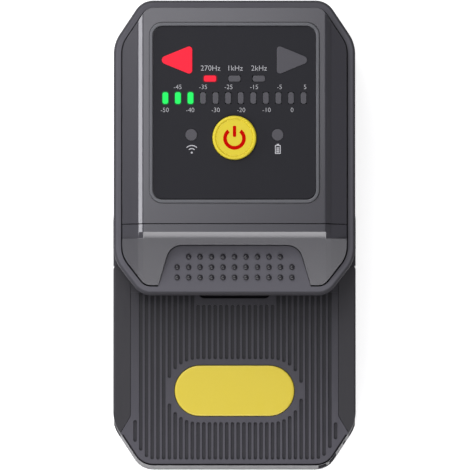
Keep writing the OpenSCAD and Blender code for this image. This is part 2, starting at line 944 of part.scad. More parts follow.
module battery_cells() {
    for (side = [-1, 1])
        translate([0, bay_y + side * (cell_r + cell_gap / 2), cell_z])
            mirror([side > 0 ? 1 : 0, 0, 0]) {
                color(green)
                    rod_x(cell_r, -cell_l / 2 - nub_l / 2, cell_l / 2 - nub_l / 2);
                color(steel)
                    rod_x(nub_r, cell_l / 2 - nub_l / 2, cell_l / 2 + nub_l / 2);
            }
}

module battery_contacts() {
    nub_gap = bay_half_w - cell_l / 2 - nub_l / 2 - seam;
    color(steel)
    for (side = [-1, 1])
        for (place = [-1, 1])
            translate([side * bay_half_w, bay_y + place * (cell_r + cell_gap / 2), 0]) {
                translate([side * contact_t / 2, 0, 0])
                    block(contact_t / 2, cell_r - cell_gap, face_t + seam, split_h - seam);
                translate([0, 0, cell_z])
                    rod_x(nub_r, side > 0 ? -nub_gap : 0, side > 0 ? 0 : nub_gap);
            }
}

module main_board() {
    color(board_green)
    difference() {
        translate([0, (board_lo + board_hi) / 2, 0])
            block(board_half_w, (board_hi - board_lo) / 2, board_z, board_z + board_t);
        for (p = board_posts)
            translate(p)
                post(small_screw_r + fit, board_z - over, board_z + board_t + over, small_fn);
    }
}

module main_board_parts() {
    top = board_z + board_t;
    mid = (board_lo + board_hi) / 2;
    color(black) {
        translate([0, mid, 0])
            block(chip_half, chip_half, top, top + chip_h);
        translate([-board_half_w / 2, mid + 2 * chip_half, 0])
            block(chip_half / 2, chip_half / 2, top, top + chip_h);
    }
    color(steel)
        translate([chip_half / 2, board_lo + can_half_l + post_inset / 2, 0])
            block(can_half_w, can_half_l, top, top + 2 * chip_h);
    color(brass)
        translate([cable_in + cable_w / 2, board_hi - post_inset, 0])
            block(cable_w / 2 + chip_h / 2, chip_h, top, top + chip_h);
}

module main_board_screws() {
    color(steel)
    for (p = board_posts)
        translate(p)
            screw_down(small_screw_r, small_head_r, small_head_h, board_z + board_t,
                board_z - screw_tip + seam);
}

// Runs its children on the slanted axis of one photodiode
module on_diode_axis(side) {
    translate([side * diode_x, fibre_y, anvil_top - trough_d])
        rotate([0, -side * diode_tilt, 0])
            children();
}

module fibre_anvil() {
    color(black)
    difference() {
        translate([0, fibre_y, 0]) {
            block(anvil_half_w, anvil_half_l, anvil_foot, anvil_top);
            block(anvil_half_w + anvil_flange, anvil_half_l, handle_h - 2 * face_t, handle_h - face_t - seam);
        }
        // Bent track of the fibre
        translate([0, fibre_y + anvil_half_l + over, trough_z])
            rotate([90, 0, 0])
                cylinder(r = trough_r, h = 2 * (anvil_half_l + over), $fn = 2 * round_fn);
        for (side = [-1, 1])
            on_diode_axis(side) {
                post(diode_r + fit, -split_h - over, -diode_deep, small_fn);
                post(light_r, -diode_deep - over, over, small_fn);
            }
    }
}

module photodiodes() {
    for (side = [-1, 1])
        on_diode_axis(side) {
            color(steel)
                post(diode_r, -diode_deep - diode_l, -diode_deep - seam, small_fn);
            color(brass)
                post(light_r / 2, -diode_deep - diode_l - wall, -diode_deep - diode_l, small_fn);
        }
}

// Grooved blocks that keep the fibre straight on both sides of the anvil
module fibre_guides() {
    floor_z = handle_h + guide_floor;
    color(dark_grey)
    for (side = [-1, 1])
        mirror([side < 0 ? 1 : 0, 0, 0])
            translate([0, fibre_y, 0]) {
                side_prism([
                    [-guide_half_l, handle_h],
                    [guide_half_l, handle_h],
                    [guide_half_l, guide_top],
                    [guide_mouth / 2, guide_top],
                    [seam, floor_z],
                    [-seam, floor_z],
                    [-guide_mouth / 2, guide_top],
                    [-guide_half_l, guide_top]], guide_in, guide_out);
                translate([guide_in + guide_dowel_in, 0, 0])
                    post(guide_dowel_r, handle_h - face_t, handle_h + seam, small_fn);
            }
}

module stop_bumpers() {
    color(black)
    for (side = [-1, 1])
        translate([side * bumper_x, bumper_y, 0])
            post(bumper_r, deck_h - bumper_in, head_z - bumper_free, small_fn);
}

module hinge_pin() {
    color(steel)
    translate([0, hinge_y, hinge_z])
        rod_x(pin_d / 2, -pin_half_l, pin_half_l);
}

// Middle line of the hinge spring: the base leg, the turns and the head leg
function spring_path() =
    let (
        middle = -(spring_in + spring_out) / 2,
        length = spring_turns * coil_pitch,
        rings = spring_turns * curl_rings
    )
    concat(
        [[middle - length / 2, hinge_y - spring_leg, hinge_z - coil_r]],
        [for (i = [0 : rings + curl_rings / 2])
            let (a = -90 + 360 * i / curl_rings)
            [middle - length / 2 + length * i / (rings + curl_rings / 2),
                hinge_y + coil_r * cos(a), hinge_z + coil_r * sin(a)]],
        [[middle + length / 2, hinge_y - spring_leg, head_z - coil_wire_r - 2 * seam]]);

module hinge_spring() {
    color(steel)
        swept_tube(spring_path(), coil_wire_r, tube_sides);
}

// Least gap between a coil's turns, measured between the points of its middle line
function coil_gap(path, r) =
    let (last = len(path) - 1)
    min([for (i = [0 : last]) for (j = [i + curl_rings / 2 : 1 : last]) norm(path[i] - path[j])]) - 2 * r;

echo(hinge_spring_gap = coil_gap(spring_path(), coil_wire_r));

// Flat cable between the two boards, drawn as [y, z]
function cable_line() =
    let (
        foot = board_z + board_t + cable_t,
        top = display_board_z - cable_t,
        y0 = board_hi - post_inset + 2 * cable_t,
        y1 = hinge_y - cable_back,
        bow = barrel_r / 2
    )
    [
        [y0 + bow, foot + bow],
        [y1 + bow / 2, hinge_z],
        [y1, deck_h],
        [y1, head_z + chassis_t],
        [y1 - bow, top - bow / 2],
        [y1 - 2 * bow, top]];

module head_cable() {
    line = cable_line();
    n = len(line);
    back = [for (i = [n - 1 : -1 : 0]) [line[i].x - cable_t, line[i].y - cable_t / 4]];
    color(brass)
        side_prism(concat(line, back), cable_in, cable_in + cable_w);
}

module shell_screws() {
    color(steel)
    for (p = shell_screw_places)
        translate(p)
            screw_up(screw_r, screw_head_r, screw_head_h, screw_sink, split_h + screw_tip);
}

// Head frame: rim, thumb pad with its domes, inner ledge and screw bosses
module head_frame() {
    edge = edge_levels(head_edge_r);
    color(grey)
    difference() {
        union() {
            difference() {
                loft(concat(
                    [[head_z, head_outline(seam)], [head_z + seam, head_outline()]],
                    [for (i = [len(edge) - 1 : -1 : 0]) [rim_z - edge[i].x, head_outline(edge[i].y)]]));
                slab(head_outline(rim_w), head_z - over, rim_z + over);
            }
            // Ledge that carries the covers
            difference() {
                slab(head_outline(rim_w - seam), cover_foot - ledge_t, cover_foot);
                slab(head_outline(rim_w + ledge_w), head_z, rim_z);
            }
            intersection() {
                slab(head_outline(rim_w - seam), head_z, rim_z);
                slab(pad_outline(), rim_z - pad_t, rim_z);
            }
            for (p = head_screw_places)
                translate(p) {
                    post(head_boss_r, chassis_top + seam, cover_foot, small_fn);
                    translate([sign(p.x) * (head_w / 2 - rim_w - head_screw_x) / 2, 0, 0])
                        block((head_w / 2 - rim_w - head_screw_x + seam) / 2, wall / 2, chassis_top + seam,
                            cover_foot);
                }
            pad_domes();
        }
        for (p = head_screw_places)
            translate(p)
                post(small_screw_r + fit, head_z, cover_foot - wall / 2, small_fn);
        // Ports through which the fibre leaves
        translate([0, fibre_y, head_z])
            for (side = [-1, 1])
                rod_x(port_r, side < 0 ? -head_w : head_w / 2 - 2 * rim_w,
                    side < 0 ? 2 * rim_w - head_w / 2 : head_w, small_fn);
    }
}

// Place of a row of domes along the head
function dome_line(row) = fibre_y + (1 - row) * dome_row;

// Rows of domes on the thumb pad
module pad_domes() {
    r = dome_d / 2;
    ball = (r * r + dome_h * dome_h) / (2 * dome_h);
    for (row = [0 : len(dome_counts) - 1])
        for (i = [0 : dome_counts[row] - 1])
            translate([(i - (dome_counts[row] - 1) / 2) * dome_pitch, dome_line(row), rim_z])
                intersection() {
                    translate([0, 0, dome_h - ball])
                        sphere(r = ball, $fn = small_fn);
                    post(r, -dome_h / 2, dome_h, small_fn);
                }
}

// Cross section of the raised face, lowered by t and drawn in by w at the sides
function face_section(t, w) =
    let (
        out = head_w / 2 - rim_w - cover_gap - w,
        bevel_x = flat_half + bevel_w - w / 2
    )
    [
        [-out, cover_foot - (t > 0 ? over : 0)],
        [-out, face_z - bevel_drop - flank_drop - t],
        [-bevel_x, face_z - bevel_drop - t],
        [-flat_half + w / 2, face_z - t],
        [flat_half - w / 2, face_z - t],
        [bevel_x, face_z - bevel_drop - t],
        [out, face_z - bevel_drop - flank_drop - t],
        [out, cover_foot - (t > 0 ? over : 0)]];

// Outline of the bezel, moved in by d, with its corners of radius r
function bezel_line(d, r) = round_rect(bezel_w / 2 - d, bezel_l / 2 - d, r);
bezel_inner_r = bezel_r - bezel_bar;
bezel_y = panel_hi - bezel_l / 2;

module display_cover() {
    color(grey)
    difference() {
        intersection() {
            front_prism(face_section(0, 0), seam_y + seam / 2, head_hi);
            slab(head_outline(rim_w + cover_gap), cover_foot - over, face_z + over);
        }
        intersection() {
            front_prism(face_section(cover_t, cover_wall), seam_y - over, head_hi - rim_w - cover_wall);
            slab(head_outline(rim_w + cover_gap + cover_wall), cover_foot - 2 * over, face_z);
        }
        // Seat of the bezel and the panel
        translate([0, bezel_y, 0]) {
            slab(bezel_line(-seam, bezel_r + seam), face_z - bezel_sink, face_z + over);
            slab(bezel_line(bezel_bar - seam, bezel_inner_r), face_z - panel_t - seam, face_z + over);
            slab(bezel_line(bezel_bar + panel_ledge, bezel_inner_r), cover_foot, face_z + over);
        }
    }
}

// Solid of the chin: three bands that step down towards the pad. Each station is its place along Y,
// how far the face has dropped there, and how far the foot of the side bevel has risen.
module chin_form(t, w, y_hi, y_lo) {
    section = face_section(t, w);
    xs = [for (p = section) p.x];
    zs = [for (p = section) p.y];
    low_drop = bend_drop + chin_drop * (bend_lo - y_lo) / (bend_lo - head_lo - rim_w);
    stations = [[y_hi, 0, 0], [bend_hi, 0, 0], [bend_lo, bend_drop, chin_bevel_rise],
        [y_lo, low_drop, chin_bevel_rise]];
    n = len(section);
    rows = len(stations);
    bevel_foot = [2, n - 3];
    points = [for (s = stations) for (i = [0 : n - 1])
        [xs[i], s[0],
            i == 0 || i == n - 1 ? zs[i] - chin_drop
            : len(search(i, bevel_foot)) > 0 ? zs[i] - s[1] + s[2]
            : zs[i] - s[1]]];
    skin = [for (r = [0 : rows - 2]) for (i = [0 : n - 1])
        let (a = r * n + i, b = r * n + (i + 1) % n)
        each [[a, b, b + n], [a, b + n, a + n]]];
    polyhedron(points, concat(
        [[for (i = [n - 1 : -1 : 0]) i]],
        skin,
        [[for (i = [0 : n - 1]) (rows - 1) * n + i]]));
}

module chin_cover() {
    color(grey)
    difference() {
        intersection() {
            chin_form(0, 0, seam_y - seam / 2, head_lo);
            slab(head_outline(rim_w + cover_gap), cover_foot, face_z + over);
        }
        intersection() {
            chin_form(cover_t, cover_wall, seam_y + over, head_lo);
            slab(head_outline(rim_w + cover_gap + cover_wall), 0, face_z);
            translate([-head_w, head_lo + pad_up - wall - cover_wall, 0])
                cube([2 * head_w, body_l, face_z]);
        }
        slab(pad_outline(seam), 0, face_z);
        translate([0, head_lo + rim_w, 0])
            block(pad_half_low + seam, seam, 0, face_z);
    }
}

module display_bezel() {
    color(pale_grey)
    translate([0, bezel_y, 0])
        difference() {
            slab(bezel_line(0, bezel_r), face_z - bezel_sink + seam / 2, face_z + bezel_rise);
            slab(bezel_line(bezel_bar, bezel_inner_r), face_z - over, face_z + over);
        }
}

// Rounded arrowhead that points along +X, with its tip at x = 0
function arrow_points(grow = 0) =
    rounded([
        [2 * grow, 0],
        [-arrow_l - grow, arrow_half_h + 1.5 * grow],
        [-arrow_l - grow, -arrow_half_h - 1.5 * grow]], [arrow_r, arrow_r, arrow_r]);

// Places of the lenses and of the lamps below them
arrow_y = panel_hi - bezel_l * arrow_down_share;
frequency_places = [for (i = [-1 : 1])
    [i * bezel_w * frequency_pitch_share, panel_hi - bezel_l * frequency_down_share]];
bar_places = [for (i = [0 : bar_count - 1])
    [(i - (bar_count - 1) / 2) * bezel_w * bar_pitch_share, panel_hi - bezel_l * bar_down_share]];
status_places = [for (side = [-1, 1])
    [side * bezel_w * status_x_share, panel_hi - bezel_l * status_down_share]];

// Every lens outline as a solid, grown by d, from z0 to z1
module arrow_forms(d, z0, z1) {
    for (side = [-1, 1])
        translate([side * arrow_tip, arrow_y, 0])
            mirror([side < 0 ? 1 : 0, 0, 0])
                slab(arrow_points(d), z0, z1);
}

module frequency_forms(d, z0, z1) {
    for (p = frequency_places)
        translate(p)
            block(frequency_size.x / 2 + d, frequency_size.y / 2 + d, z0, z1);
}

module bar_forms(d, z0, z1) {
    for (p = bar_places)
        translate(p)
            block(bar_size.x / 2 + d, bar_size.y / 2 + d, z0, z1);
}

module status_forms(d, z0, z1) {
    for (p = status_places)
        translate(p)
            post(status_r + d, z0, z1, small_fn);
}

module display_panel() {
    z0 = face_z - panel_t;
    color(panel_grey)
    difference() {
        translate([0, bezel_y, 0])
            slab(bezel_line(bezel_bar + seam, bezel_inner_r), z0, face_z);
        arrow_forms(lens_fit, z0 - over, face_z + over);
        frequency_forms(lens_fit, z0 - over, face_z + over);
        bar_forms(lens_fit, z0 - over, face_z + over);
        status_forms(lens_fit, z0 - over, face_z + over);
        translate([0, button_y, 0])
            post(button_r + button_fit, z0 - over, face_z + over);
    }
}

lens_top = face_z + lens_rise;
lens_foot = lens_top - lens_t;

module arrow_lenses() {
    color(red)
        arrow_forms(0, lens_foot, lens_top);
}

module frequency_lenses() {
    color(pale_grey)
        frequency_forms(0, lens_foot, lens_top);
}

module level_lenses() {
    color(green)
        bar_forms(0, lens_foot, lens_top);
}

module status_lenses() {
    color(pale_grey)
        status_forms(0, lens_foot, lens_top);
}

display_board_top = display_board_z + board_t;
display_board_lo = panel_hi - bezel_l + 1.5 * wall;
display_board_hi = panel_hi - bezel_bar;
display_posts = [for (x = [-1, 1])
    for (y = [display_board_lo + display_post_inset, display_board_hi - display_post_inset])
        [x * (display_board_half_w - display_post_inset), y]];

module display_board() {
    color(board_green)
    difference() {
        translate([0, (display_board_lo + display_board_hi) / 2, 0])
            block(display_board_half_w, (display_board_hi - display_board_lo) / 2, display_board_z,
                display_board_top);
        for (p = display_posts)
            translate(p)
                post(small_screw_r + fit, display_board_z - over, display_board_top + over, small_fn);
    }
}

module display_lamps() {
    lamp_top = display_board_top + lamp_h;
    arrow_places = [for (side = [-1, 1]) [side * (arrow_tip - arrow_lamp_in), arrow_y]];
    color("white")
    for (p = concat(arrow_places, frequency_places, bar_places, status_places))
        translate(p)
            block(lamp_size / 2, lamp_size / 2, display_board_top, lamp_top);
}

// Push switch under the power button
module power_switch() {
    color(black)
        translate([0, button_y, 0]) {
            block(switch_w / 2, switch_w / 2, display_board_top, display_board_top + switch_h);
            post(switch_stem_r, display_board_top + switch_h, button_foot - button_travel - seam / 2,
                small_fn);
        }
}

module display_board_screws() {
    color(steel)
    for (p = display_posts)
        translate(p)
            screw_down(small_screw_r, small_head_r, small_head_h, display_board_top, chassis_top + wall);
}

// Plate that closes the head from below, with the hinge knuckles and the fibre channel
module head_chassis() {
    wall_inset = rim_w + seam;
    color(dark_grey)
    difference() {
        union() {
            slab(head_outline(wall_inset), head_z, chassis_top);
            // Roof of the fibre channel
            intersection() {
                translate([0, fibre_y, 0])
                    block(head_w / 2, channel_half_l, chassis_top - seam, head_z + port_r + channel_t);
                slab(head_outline(wall_inset), head_z, rim_z);
            }
            for (p = display_posts)
                translate(p)
                    post(small_boss_r, chassis_top - seam, display_board_z);
            for (side = [-1, 1])
                translate([0, hinge_y, 0])
                    knuckle(side);
        }
        translate([0, fibre_y, head_z])
            rod_x(port_r, -head_w, head_w, small_fn);
        // Window of the presser and room for its flange
        translate([0, fibre_y, 0]) {
            block(nose_half_w + fit, nose_half_l + fit, head_z - over, rim_z);
            block(presser_flange_half_w + seam, presser_flange_half_l + seam, chassis_top, rim_z);
        }
        for (p = head_screw_places)
            translate(p) {
                post(small_screw_r + fit, head_z - over, chassis_top + over, small_fn);
                post(small_head_r + 2 * fit, head_z - over, head_z + small_head_h + seam, small_fn);
            }
        for (p = display_posts)
            translate(p)
                post(small_screw_r + fit, chassis_top + wall - seam, display_board_z + over, small_fn);
        // Slot of the cable
        translate([cable_in - cable_t, hinge_y - cable_back - barrel_r / 2, head_z - over])
            cube([cable_w + 2 * cable_t, barrel_r, chassis_t + 2 * over]);
        translate([0, hinge_y, hinge_z])
            rod_x(pin_d / 2 + fit, -pin_half_l, pin_half_l);
    }
}

// Hinge knuckle on one side, with its axis at y = 0
module knuckle(side) {
    x0 = side > 0 ? knuckle_in : -knuckle_in - knuckle_w;
    translate([0, 0, hinge_z])
        rod_x(knuckle_r, x0, x0 + knuckle_w);
    translate([x0, -knuckle_web, hinge_z])
        cube([knuckle_w, knuckle_web + head_hi - rim_w - seam - hinge_y, head_z - hinge_z + seam]);
}

module head_screws() {
    color(steel)
    for (p = head_screw_places)
        translate(p)
            screw_up(small_screw_r, small_head_r, small_head_h, head_z + seam, cover_foot - wall);
}

presser_foot = chassis_top + presser_lift;
presser_top = presser_foot + presser_flange_t;

// Fibre presser: a convex nose below a flange, with a stub for its spring
module presser() {
    color(black)
    translate([0, fibre_y, 0]) {
        intersection() {
            translate([0, nose_half_l, trough_z])
                rotate([90, 0, 0])
                    cylinder(r = trough_r - nose_gap, h = 2 * nose_half_l, $fn = 2 * round_fn);
            block(nose_half_w, nose_half_l, anvil_top - trough_d, presser_foot + seam);
        }
        block(presser_flange_half_w, presser_flange_half_l, presser_foot, presser_top);
        post(stub_r, presser_top, presser_top + stub_h, small_fn);
    }
}

function presser_coil() =
    let (
        low = presser_top + press_wire_r + seam / 2,
        high = rim_z - pad_t - press_wire_r - seam / 2,
        rings = press_turns * curl_rings
    )
    [for (i = [0 : rings])
        let (a = 360 * i / curl_rings)
        [press_coil_r * cos(a), fibre_y + press_coil_r * sin(a), low + (high - low) * i / rings]];

echo(presser_spring_gap = coil_gap(presser_coil(), press_wire_r));

module presser_spring() {
    color(steel)
        swept_tube(presser_coil(), press_wire_r, tube_sides);
}

button_foot = face_z - panel_t - button_gap - button_flange_t;

module power_button() {
    top = face_z + button_rise;
    color(yellow)
    translate([0, button_y, 0]) {
        post(button_r + button_flange, button_foot, button_foot + button_flange_t);
        post(button_r, button_foot, top - button_edge);
        translate([0, 0, top - button_edge])
            cylinder(r1 = button_r, r2 = button_r - button_edge, h = button_edge, $fn = round_fn);
    }
}

back_shell();
handle_cover();
neck_deck();
side_grip_left();
side_grip_right();
name_plate();
lanyard_pin();
battery_door();
battery_door_screw();
battery_cells();
battery_contacts();
main_board();
main_board_parts();
main_board_screws();
fibre_anvil();
photodiodes();
fibre_guides();
stop_bumpers();
hinge_pin();
hinge_spring();
head_cable();
shell_screws();
head_frame();
display_cover();
chin_cover();
display_bezel();
display_panel();
arrow_lenses();
frequency_lenses();
level_lenses();
status_lenses();
display_board();
display_lamps();
power_switch();
display_board_screws();
head_chassis();
head_screws();
presser_spring();
power_button();
presser();
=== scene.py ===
"""Looks of the hand-held optical fibre identifier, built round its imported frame.

Forms are drawn in millimetres, with the part's own sizes, and each is brought to metres when it is done.
"""
from math import acos, cos, pi, radians, sin, sqrt, tan

import bmesh
import bpy
from mathutils import Matrix, Vector


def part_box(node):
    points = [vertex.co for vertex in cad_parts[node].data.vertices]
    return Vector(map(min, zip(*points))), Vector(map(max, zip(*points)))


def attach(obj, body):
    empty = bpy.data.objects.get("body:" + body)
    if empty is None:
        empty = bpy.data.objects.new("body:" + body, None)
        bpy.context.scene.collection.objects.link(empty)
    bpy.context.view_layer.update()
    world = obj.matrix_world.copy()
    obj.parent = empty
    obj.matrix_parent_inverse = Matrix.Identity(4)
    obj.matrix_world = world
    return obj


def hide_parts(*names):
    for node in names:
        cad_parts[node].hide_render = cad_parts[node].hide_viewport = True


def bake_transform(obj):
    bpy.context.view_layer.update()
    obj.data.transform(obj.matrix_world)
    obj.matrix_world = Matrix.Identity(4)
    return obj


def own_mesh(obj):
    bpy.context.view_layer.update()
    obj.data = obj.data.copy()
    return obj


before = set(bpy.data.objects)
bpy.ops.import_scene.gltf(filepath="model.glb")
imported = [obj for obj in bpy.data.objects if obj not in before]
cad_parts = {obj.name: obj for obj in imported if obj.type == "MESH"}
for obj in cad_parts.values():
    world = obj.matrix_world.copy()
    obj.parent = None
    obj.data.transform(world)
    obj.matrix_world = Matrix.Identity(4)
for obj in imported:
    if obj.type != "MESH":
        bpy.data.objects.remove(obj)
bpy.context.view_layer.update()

MM = 0.001

# Sizes of the body, in millimetres
BODY_HALF = 29.0
BODY_END = 55.7
NECK_HALF = 28.8
NECK_STEP_Y = 2.9
NECK_R = 8
HANDLE_H = 18.0
SPLIT_H = 9.6
BASE_CUT = Vector((6.8, 10.4))
SIDE_R = 8.5
END_R = 5.0

# Sizes of the head
HEAD_HALF = 28.85
HEAD_LOW = -15.1
HEAD_HIGH = 55.2
HEAD_CUT_LOW = Vector((6.45, 8.3))
HEAD_CUT_HIGH = Vector((6.8, 10.2))
HEAD_Z = 20.0
RIM_Z = 26.5
RIM_W = 1.75
FACE_Z = 30.4
SEAM_Y = 1.46
SEAM_GAP = 0.11
COVER_GAP = 0.35
FLAT_HALF = 21.8
BEND_HIGH, BEND_LOW = -0.5, -2.0
BEND_DROP = 0.75
CHIN_DROP = 3.15
CHIN_ROOM_Y = -6.9
HOOD_FOOT = 24.6
HOOD_WALL = 1.5
HOOD_T = 1.9
LEDGE_W = 1.1
LEDGE_LOW = 23.3
ABOVE = 34
HINGE_Y, HINGE_Z = 51.7, 15.6

# Thumb pad and fibre port
PAD_TALL = 11.5
PAD_FOOT_HALF = 18.2
PAD_TOP_HALF = 15.3
PAD_LEAN = 0.297
DOME_R = 0.69
DOME_PITCH, DOME_ROW = 2.74, 2.47
FIBRE_Y = -8.72
PORT_R = 1.8

# Display
BEZEL_X, BEZEL_Y, BEZEL_R = 20.3, 21.6, 3.1
BEZEL_MIDDLE = 28.0
PANEL_TOP = 30.4
PRINT_TOP = 30.44
BUTTON_Y = 22.0
BUTTON_R = 5.25
RATE_PITCH = 5.83
BAR_PITCH = 3.0
BAR_COUNT = 12
BARS_LIT = 3
HALO_W = 0.26

# Handle
PLATE_LONG, PLATE_WIDE = 28.7, 12.2
PLATE_Y = -37.8
GROOVE_PITCH = 1.37
GROOVE_FIRST = -25.145
GROOVE_COUNT = 37
GROOVE_W = 0.88
GROOVE_D = 0.5
GROOVE_TOP = -12.6
SHORTEST = 2.6
CORNER_X = 23.0
CORNER_TOP, CORNER_SLOPE, CORNER_FROM = -44.8, 1.7, 24.3
BORDER = 1.4
EDGE_OUT = 0.3
DRAFT_HIGH = -44.0
END_GROOVE_HIGH = -48.3
TOP_T = 1.3
COVER_HIGH = -14.2
SCOOP_HALF = 8.7
SCOOP_LOW, SCOOP_HIGH = -15.7, -12.8
SCOOP_D, SCOOP_LONG = 1.2, 4.6
GRIP_X = 24.8
GRIP_LOW_Y = -43.4
SLANT_X = 24.91

ARC = 10


# ---- Outlines ----

def arc(x, y, r, start, sweep, steps):
    """Points of an arc round (x, y)."""
    angles = [start + sweep * i / steps for i in range(steps + 1)]
    return [Vector((x + r * cos(a), y + r * sin(a))) for a in angles]


def corner_arc(a, b, c, r, steps):
    """Points of the arc of radius r that rounds the corner b of the path a, b, c."""
    u, v = (a - b).normalized(), (c - b).normalized()
    half = acos(max(-1, min(1, u.dot(v)))) / 2
    centre = b + (u + v).normalized() * (r / sin(half))
    start = b + u * (r / tan(half)) - centre
    way = 1 if u.y * v.x - u.x * v.y > 0 else -1
    sweep = way * (pi - 2 * half)
    return [centre + Matrix.Rotation(sweep * i / steps, 2) @ start for i in range(steps + 1)]


def rounded(points, radii, steps=ARC):
    """The closed outline with each corner rounded by its own radius."""
    points = [Vector(p) for p in points]
    out = []
    for i, r in enumerate(radii):
        out += corner_arc(points[i - 1], points[i], points[(i + 1) % len(points)], max(r, 0.02), steps)
    return out


def softened(line, radii, steps=5):
    """The open line with each inner corner rounded by its own radius."""
    soft = [line[0]]
    for before, at, after, r in zip(line, line[1:], line[2:], radii):
        soft += corner_arc(before, at, after, r, steps)
    return soft + [line[-1]]


def cut_corner(half, end, cut, d):
    """The places where a cut corner, moved in by d, meets the end and the side."""
    reach = ((cut.y * half + cut.x * (end - cut.y)) / cut.length - d) * cut.length
    return (((reach - cut.x * (end - d)) / cut.y, end - d),
            (half - d, (reach - cut.y * (half - d)) / cut.x))


def outline_of(low, between, high, radii, steps):
    """The closed outline of two cut corners, what lies between them, and the mirror image."""
    right = [(x, -y) for x, y in low] + between + list(reversed(high))
    left = [(-x, y) for x, y in reversed(right)]
    return rounded(right + left, radii + radii[::-1], steps)


def base_outline(d=0.0, steps=ARC):
    """Outline of the base, moved in by d."""
    neck = [(BODY_HALF - d, NECK_STEP_Y), (NECK_HALF - d, NECK_STEP_Y + 3)]
    radii = [END_R - d, SIDE_R - d, NECK_R, NECK_R, SIDE_R - d, END_R - d]
    return outline_of(cut_corner(BODY_HALF, BODY_END, BASE_CUT, d), neck,
                      cut_corner(NECK_HALF, BODY_END, BASE_CUT, d), radii, steps)


def head_outline(d=0.0, steps=ARC):
    """Outline of the head, moved in by d."""
    radii = [END_R - d, SIDE_R - d, SIDE_R - d, END_R - d]
    return outline_of(cut_corner(HEAD_HALF, -HEAD_LOW, HEAD_CUT_LOW, d), [],
                      cut_corner(HEAD_HALF, HEAD_HIGH, HEAD_CUT_HIGH, d), radii, steps)


def pad_outline(d, foot):
    """Outline of the thumb pad, grown by d, down to its foot."""
    top = HEAD_LOW + PAD_TALL + d
    half = PAD_FOOT_HALF + d + PAD_LEAN * (HEAD_LOW + RIM_W - foot)
    crown = PAD_TOP_HALF + d
    return rounded([(half, foot), (crown, top), (-crown, top), (-half, foot)], [0.4, 3.8, 3.8, 0.4])


def box_outline(half_x, half_y, r, y=0.0, x=0.0):
    """Rounded rectangle round (x, y)."""
    return [p + Vector((x, y)) for p in rounded(
        [(half_x, -half_y), (half_x, half_y), (-half_x, half_y), (-half_x, -half_y)], [r] * 4)]


def bezel_outline(d, dr):
    """Outline of the bezel, moved in by d, with its corner radius less by dr."""
    return box_outline(BEZEL_X - d, BEZEL_Y - d, BEZEL_R - dr, BEZEL_MIDDLE)


def capsule_outline(d, steps=20):
    """Outline of the capsule plate, moved in by d."""
    width = PLATE_WIDE - 2 * d
    r, straight = width / 2, (PLATE_LONG - 2 * d - width) / 2
    right = arc(straight, PLATE_Y, r, -pi / 2, pi, steps)
    return right + arc(-straight, PLATE_Y, r, pi / 2, pi, steps)


def at_height(outline, z):
    """The outline as points in space at height z."""
    return [(p[0], p[1], z) for p in outline]


# ---- Meshes ----

def placed(name, data):
    """A new object of the scene, at the origin."""
    obj = bpy.data.objects.new(name, data)
    bpy.context.scene.collection.objects.link(obj)
    return obj


def plain(name, points, edges=(), faces=()):
    """A new object from points."""
    mesh = bpy.data.meshes.new(name)
    mesh.from_pydata([tuple(p) for p in points], edges, faces)
    return placed(name, mesh)


def reshape(obj, change):
    """Runs a change on the points, edges and faces of an object."""
    work = bmesh.new()
    work.from_mesh(obj.data)
    change(work)
    work.to_mesh(obj.data)
    work.free()
    return obj


def tidy(obj, merge=0.001):
    """Merges doubles and turns every face outwards."""
    def change(work):
        bmesh.ops.remove_doubles(work, verts=work.verts, dist=merge)
        bmesh.ops.recalc_face_normals(work, faces=work.faces)
    return reshape(obj, change)


def loft(name, rings, closed=False):
    """A solid through rings of equal point counts. A closed loft joins its last ring to its first."""
    n = len(rings[0])
    points = [p for ring in rings for p in ring]
    faces = []
    for r in range(len(rings) if closed else len(rings) - 1):
        a, b = r * n, (r + 1) % len(rings) * n
        faces += [(a + i, a + (i + 1) % n, b + (i + 1) % n, b + i) for i in range(n)]
    if not closed:
        faces += [tuple(range(n)), tuple(range(len(points) - n, len(points)))]
    return tidy(plain(name, points, (), faces))


def slab(name, outline, low, high):
    """A straight prism on an outline."""
    return loft(name, [at_height(outline, low), at_height(outline, high)])


def block(name, x, y, z):
    """A straight block between pairs of limits."""
    return slab(name, [(x[0], y[0]), (x[1], y[0]), (x[1], y[1]), (x[0], y[1])], *z)


def turned_form(name, profile, centre=(0, 0), sides=64):
    """A solid turned round an upright axis, from a profile of (radius, height) pairs."""
    return loft(name, [at_height(arc(*centre, max(r, 0.001), 0, 2 * pi, sides)[:-1], z) for r, z in profile])


def bent_band(name, x, y, radii, start, sweep, steps, low, high):
    """A flat band bent round (x, y), between two radii."""
    inner, outer = (arc(x, y, r, start, sweep, steps) for r in radii)
    return loft(name, [at_height((a, b), low) + at_height((b, a), high) for a, b in zip(inner, outer)])


def lying(form, place):
    """Lays a turned form along X, with its middle at a place."""
    form.data.transform(Matrix.Translation(place) @ Matrix.Rotation(pi / 2, 4, "Y"))
    return form


def mesh_of(obj):
    """The mesh that an object's modifiers or curve give."""
    graph = bpy.context.evaluated_depsgraph_get()
    graph.update()
    return bpy.data.meshes.new_from_object(obj.evaluated_get(graph))


def bake(obj):
    """Applies every modifier of an object."""
    mesh = mesh_of(obj)
    obj.modifiers.clear()
    old, obj.data = obj.data, mesh
    mesh.name = obj.name
    bpy.data.meshes.remove(old)
    return obj


def combine(obj, tools, how="DIFFERENCE"):
    """Cuts tools out of an object, joins them to it, or keeps what they share, and uses them up."""
    for tool in tools:
        step = obj.modifiers.new("solid", "BOOLEAN")
        step.operation, step.solver, step.object, step.use_self = how, "EXACT", tool, True
        bake(obj)
        bpy.data.objects.remove(tool)
    return tidy(obj)


